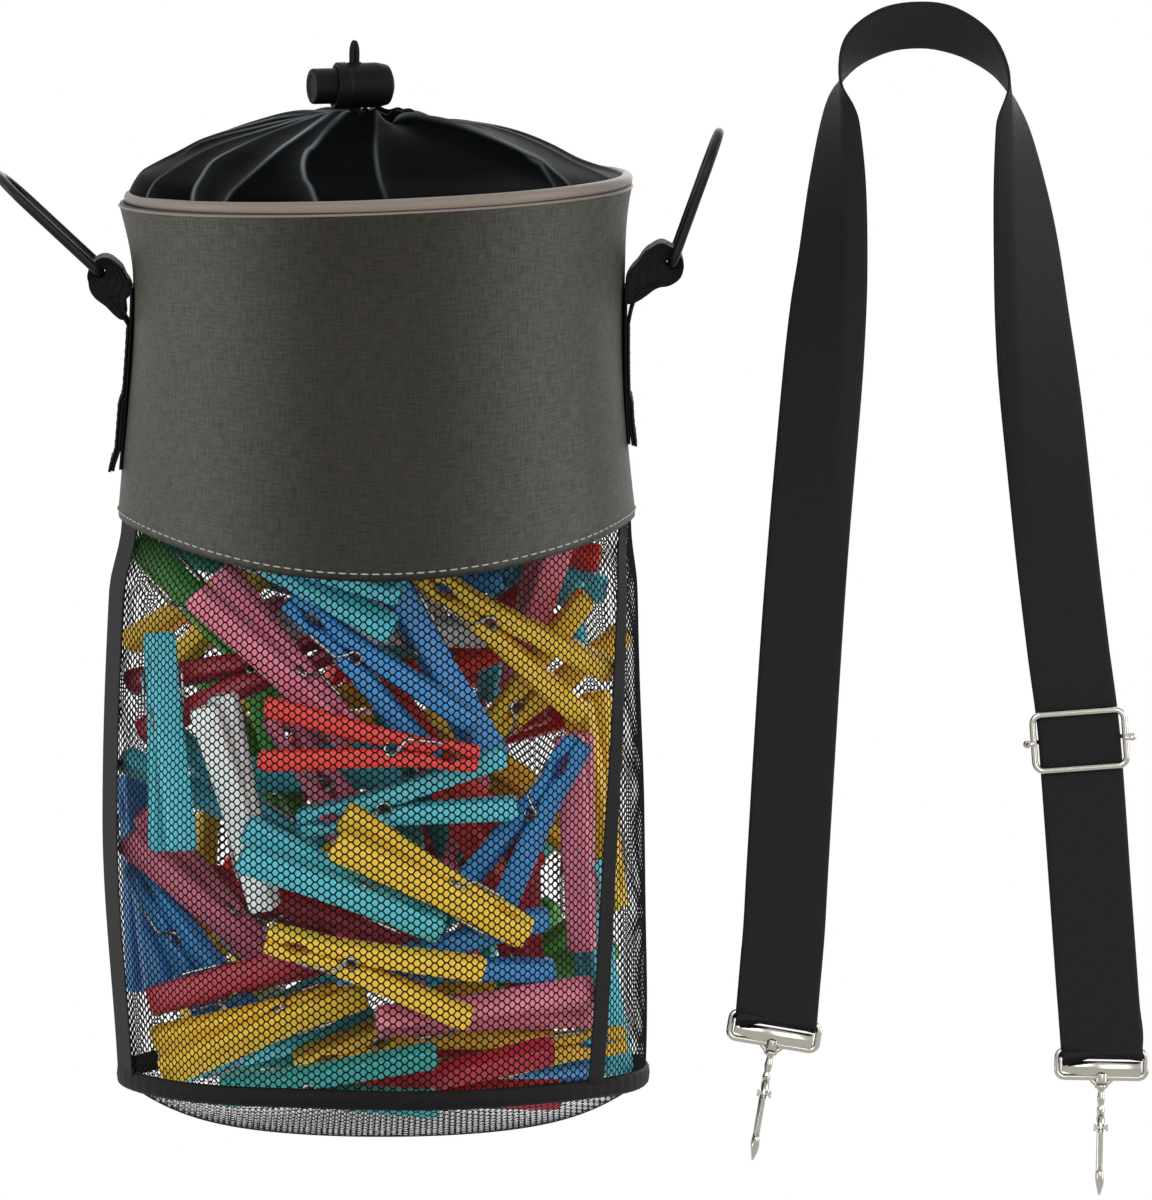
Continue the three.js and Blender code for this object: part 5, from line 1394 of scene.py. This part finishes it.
def settle(origin, axes, outward, pegs, deepest, nearest=0.0):
    """Where a peg comes to lie that is pushed in against `outward` until it clears the pegs laid before it:
    from `nearest` to `deepest` behind the first place where the net holds it, or None if there is no room."""
    moves = np.arange(0.0, PUSHED_BY, PUSH_STEP)
    out = PUSHED_FROM - moves
    stack = (origin + PEG_SAMPLES @ axes)[None] + out[:, None, None] * outward
    x, y, z = np.moveaxis(stack, -1, 0)
    r = np.hypot(x, y)
    room = (r < net_radius(z, np.arctan2(y, x)) - 2.2) & (z < PILE_TOP)
    fits = (room & (z > np.maximum(base_height(r) + 3.0, PILE_LOW))).all(1)
    if not fits.any():
        return None
    depth = moves - moves[int(np.argmax(fits))]
    fits &= (depth < deepest) & (depth >= nearest)
    middle = origin + axes[0] * PEG_LENGTH / 2 + out[:, None] * outward
    for other, other_axes, _ in pegs:
        other_middle = other + other_axes[0] * PEG_LENGTH / 2
        near = np.nonzero(fits & (np.linalg.norm(middle - other_middle, axis=1) < PEG_LENGTH))[0]
        if len(near):
            other_points = (other + PEG_SAMPLES @ other_axes)[None] - out[near][:, None, None] * outward
            hit = reaches_in(stack[near], other, other_axes) | reaches_in(other_points, origin, axes)
            fits[near[hit]] = False
    if not fits.any():
        return None
    return origin + out[int(np.argmax(fits))] * outward


# Pegs seen in the photograph, front ones first: jaw and handle end in the picture, roll in degrees, colour
SEEN_PEGS = [
    (510, 908, 358, 822, 62, "yellow"), (475, 742, 268, 718, 4, "red"), (340, 712, 226, 588, 55, "pink"),
    (480, 752, 606, 622, 12, "yellow"), (300, 812, 512, 768, 8, "turquoise"),
    (560, 762, 488, 880, 20, "blue"), (426, 905, 262, 832, 65, "turquoise"),
    (268, 902, 214, 684, 70, "white"), (332, 640, 142, 700, 25, "crimson"), (582, 940, 574, 732, 80, "pink"),
    (275, 922, 472, 975, 15, "yellow"), (362, 982, 162, 1046, 60, "yellow"), (355, 942, 556, 918, 10, "blue"),
    (250, 832, 132, 752, 30, "turquoise"), (248, 948, 150, 846, 60, "pink"),
    (385, 1008, 585, 990, 62, "pink"), (622, 1046, 415, 1072, 8, "yellow"), (300, 592, 446, 722, 10, "blue"),
    (402, 592, 474, 722, 75, "blue"), (455, 588, 562, 662, 10, "yellow"),
    (612, 892, 624, 1034, 60, "turquoise"), (632, 886, 612, 722, 70, "yellow"),
    (240, 1086, 420, 1078, 20, "teal"), (180, 1000, 330, 960, 75, "crimson"),
    (476, 968, 566, 944, 80, "green"), (165, 590, 215, 640, 70, "green"), (150, 900, 210, 1000, 30, "blue"),
    (240, 590, 180, 640, 30, "yellow"), (560, 600, 620, 700, 60, "crimson"),
    (430, 830, 540, 850, 30, "green"), (200, 1084, 330, 1040, 40, "turquoise"),
    (132, 780, 150, 990, 70, "blue"), (130, 900, 152, 1060, 30, "teal"), (610, 1076, 480, 1092, 70, "green"),
    (360, 1030, 470, 1012, 80, "white"), (300, 660, 240, 780, 60, "green"),
    (640, 560, 626, 720, 60, "yellow"), (128, 640, 140, 820, 70, "turquoise"),
    (636, 930, 628, 1080, 40, "white"), (380, 1094, 520, 1078, 30, "crimson"),
    (250, 560, 350, 600, 40, "turquoise"), (500, 640, 590, 730, 50, "green"),
]

# Pegs behind those, most of them at the bottom of the pile
HIND_PEGS = [
    (205, 1085, 330, 1095, 70, "teal"), (300, 1098, 430, 1100, 20, "teal"),
    (430, 1102, 560, 1096, 60, "blue"), (545, 1092, 640, 1080, 30, "green"),
    (150, 1060, 240, 1080, 60, "blue"), (330, 1095, 420, 1098, 65, "crimson"),
    (480, 1096, 600, 1090, 70, "turquoise"), (240, 1080, 330, 1085, 75, "yellow"),
    (250, 895, 365, 935, 60, "crimson"), (480, 760, 540, 810, 60, "yellow"),
]

# The photograph's pixel where the frame has its origin, and the millimetres of a pixel across and down
ORIGIN_X, ORIGIN_Y, PIXEL_ACROSS, PIXEL_DOWN = 378, 278, 0.353, 0.355
SEEN_DEEPEST, HIND_DEEPEST = 36.0, 90.0
PEG_TRIES, FRONT_TRIES = 3800, 2090


def photographed_pegs():
    """Pegs of the photograph pushed against the front of the net, each as near to its place there as it fits:
    origin, axes and colour of each one."""
    pegs = []
    shifts = sorted(itertools.product((0, 4, 8, 12, 18), (-9, -5, 0, 5, 9)),
                    key=lambda shift: abs(shift[0]) + abs(shift[1]))
    rows = [(*row, SEEN_DEEPEST) for row in SEEN_PEGS] + [(*row, HIND_DEEPEST) for row in HIND_PEGS]
    for x0, y0, x1, y1, roll, colour, deepest in rows:
        jaw, handle = (np.array([(x - ORIGIN_X) * PIXEL_ACROSS, 0.0, (ORIGIN_Y - y) * PIXEL_DOWN])
                       for x, y in ((x0, y0), (x1, y1)))
        slant = np.array([0.0, rng.uniform(-8, 8), 0.0])
        axes = peg_frame(handle - jaw + slant, FRONT, math.radians(roll))
        middle = (jaw + handle) / 2
        for inward, lift in shifts:
            shift = np.array([math.copysign(inward, middle[0]), 0.0, lift])
            laid = settle(middle - shift - axes[0] * PEG_LENGTH / 2, axes, FRONT, pegs, deepest)
            if laid is not None:
                pegs.append((laid, axes, colour))
                break
    return pegs


def add_seeded_pegs(pegs):
    """More pegs by a seeded draw: first ones deep behind those of the photograph, then others against the
    sides and the back. Most of them lie low, since the height is a power of the draw."""
    names = list(PEG_COLOURS)
    for turn in range(PEG_TRIES):
        front = turn < FRONT_TRIES
        spread, deepest, nearest = (80, 120.0, 52.0) if front else (48, 34.0, 0.0)
        angle = math.radians(270) + (rng.normal(0, 0.3) if front else rng.uniform(1.7, TURN - 1.7))
        outward = around(1.0, angle, 0.0)
        side = np.array([-outward[1], outward[0], 0.0])
        lean = rng.uniform(0, math.pi)
        direction = side * math.cos(lean) + UP * math.sin(lean) + outward * rng.uniform(-0.15, 0.15)
        axes = peg_frame(direction * rng.choice([-1, 1]), outward, rng.uniform(0, math.pi))
        aside = side * rng.uniform(-1, 1) * spread
        height = mix(PILE_LOW + 8, PILE_TOP - 8, rng.uniform() ** 1.4)
        middle = aside + np.array([0, 0, height])
        laid = settle(middle - axes[0] * PEG_LENGTH / 2, axes, outward, pegs, deepest, nearest)
        if laid is not None:
            pegs.append((laid, axes, names[int(rng.integers(len(names)))]))


def at_pegs(shape, pegs):
    """A shape of the peg's own frame, repeated for each of these pegs."""
    points, faces = shape
    return join_parts([(origin + points @ axes, faces) for origin, axes, _ in pegs])


laid_pegs = photographed_pegs()
add_seeded_pegs(laid_pegs)
both_legs = join_parts([peg_leg(1), peg_leg(-1)])
for colour, shade in PEG_COLOURS.items():
    chosen = [peg for peg in laid_pegs if peg[2] == colour]
    plastic = handled_material(f"Peg {colour}", shade, 0.42, grain=600.0, bump=0.06, Subsurface_Weight=0.1)
    add_piece(f"Pegs_{colour}", at_pegs(both_legs, chosen), plastic)
add_piece("Peg_springs", at_pegs(peg_spring(), laid_pegs), STEEL)
